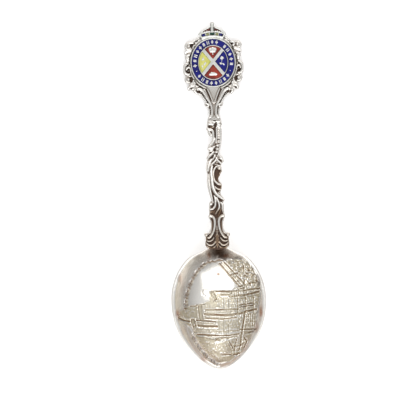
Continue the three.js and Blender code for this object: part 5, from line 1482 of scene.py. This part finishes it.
piece(bowl(), "silver_bowl", BOWL_SILVER, "bowl")
stem = cast("stem_casting", stem_parts(), CAST_VOXEL, (STEM_LOW, STEM_HIGH), stem_tarnish_and_shade)
piece(stem, "silver_cast", CAST_SILVER, "stem")
finial = cast("finial_casting", frame_parts(), CAST_VOXEL, (FRAME_LOW, FRAME_HIGH), finial_age)
piece(finial, "silver_cast", CAST_SILVER, "finial_frame")
piece(cast("badge_casting", badge_parts(), BADGE_VOXEL), "silver_badge", BADGE_SILVER, "badge_plate")
piece(enamel_ring(), "enamel_blue", BLUE, "enamel_ring_blue")
for turn, word, look, slot in (
    (90, "top_red", RED, "enamel_red"),
    (0, "right_blue", BLUE, "enamel_blue"),
    (270, "bottom_red", RED, "enamel_red"),
    (180, "left_yellow", YELLOW, "enamel_yellow"),
):
    outline = quadrant_outline(turn)
    glass = enamel_sheet("field_" + word, outline, outline.mean(axis=0))
    piece(glass, slot, look, "enamel_field_" + word)
for side, word in ((-1, "left"), (1, "right")):
    outline = crown_panel(side)
    glass = enamel_sheet(f"crown_{word}", outline, outline.mean(axis=0))
    piece(glass, "enamel_dark_red", DARK_RED, f"enamel_crown_{word}_red")
for word, (centre, half, look, slot) in JEWELS.items():
    glass = enamel_sheet(f"jewel_{word}", jewel_outline(centre, half), np.array(centre), 0.14)
    piece(glass, slot, look, f"enamel_jewel_{word}")


# ---------------------------------------------------------------- stage, light and camera


FLOOR_HALF = 1.5          # metres


def floor():
    """A pale table that glows a little, as in a photograph that is exposed for a white ground."""
    mesh = bpy.data.meshes.new("floor")
    corners = [(FLOOR_HALF * x, FLOOR_HALF * y, 0) for x, y in ((-1, -1), (1, -1), (1, 1), (-1, 1))]
    mesh.from_pydata(corners, [], [(0, 1, 2, 3)])
    obj = bpy.data.objects.new("floor", mesh)
    bpy.context.scene.collection.objects.link(obj)
    made, _, shader = material("pale_table")
    shader["Base Color"].default_value = (0.94, 0.94, 0.94, 1)
    shader["Roughness"].default_value = 0.9
    shader["Emission Color"].default_value = (1.0, 1.0, 1.0, 1)
    shader["Emission Strength"].default_value = 0.34
    mesh.materials.append(made)


def surroundings():
    """A grey room, lighter above, with a warm side beyond the crown and a dark one beyond the tip."""
    world = bpy.data.worlds.new("room")
    bpy.context.scene.world = world
    world.use_nodes = True
    t = Nodes(world.node_tree)
    split = t.add("ShaderNodeSeparateXYZ")
    t.link(t.add("ShaderNodeTexCoord").outputs["Generated"], split.inputs[0])
    x, y, z = (split.outputs[axis] for axis in "XYZ")
    height, low = t.ramp(z, 0.0, 0.85), t.ramp(z, 0.5, 0.2)
    dark = t.times(t.ramp(t.plus(t.times(x, -0.5), t.times(y, -0.87)), 0.4, 0.85), low)
    warm = t.times(t.ramp(y, 0.2, 0.8), low)
    colour = t.mix(height, (0.26, 0.25, 0.24), (0.72, 0.72, 0.72))
    colour = t.mix(warm, colour, (0.55, 0.42, 0.34))
    colour = t.mix(dark, colour, (0.11, 0.085, 0.068))
    background = next(n for n in world.node_tree.nodes if n.type == "BACKGROUND")
    t.link(colour, background.inputs["Color"])
    background.inputs["Strength"].default_value = 1.0


def area_light(name, place, target, size, power):
    light = bpy.data.lights.new(name, "AREA")
    light.shape = "RECTANGLE"
    light.size, light.size_y = size
    light.energy = power
    obj = bpy.data.objects.new(name, light)
    obj.location = place
    obj.rotation_euler = (Vector(target) - Vector(place)).to_track_quat("-Z", "Y").to_euler()
    bpy.context.scene.collection.objects.link(obj)


def camera():
    """Straight above the spoon, turned as much as the spoon lies askew in the photograph."""
    distance = 0.70
    seen = 0.1521         # width of the table in the picture, in metres
    data = bpy.data.cameras.new("camera")
    data.sensor_width = 36.0
    data.lens = data.sensor_width * distance / seen
    data.clip_start = 0.05
    data.clip_end = 10.0
    obj = bpy.data.objects.new("camera", data)
    place = Matrix.Translation((-0.00308, -0.00468, distance + 0.004))
    obj.matrix_world = place @ Matrix.Rotation(math.radians(-1.386), 4, "Z")
    bpy.context.scene.collection.objects.link(obj)
    bpy.context.scene.camera = obj


floor()
surroundings()
area_light("soft_front", (0.0, -0.44, 0.62), (0, -0.03, 0), (0.84, 0.62), 2.5)
area_light("soft_back", (0.10, 0.62, 0.62), (0, 0.02, 0), (0.9, 0.40), 1.4)
camera()

scene = bpy.context.scene
scene.view_settings.view_transform = "Standard"
scene.view_settings.exposure = 0.0
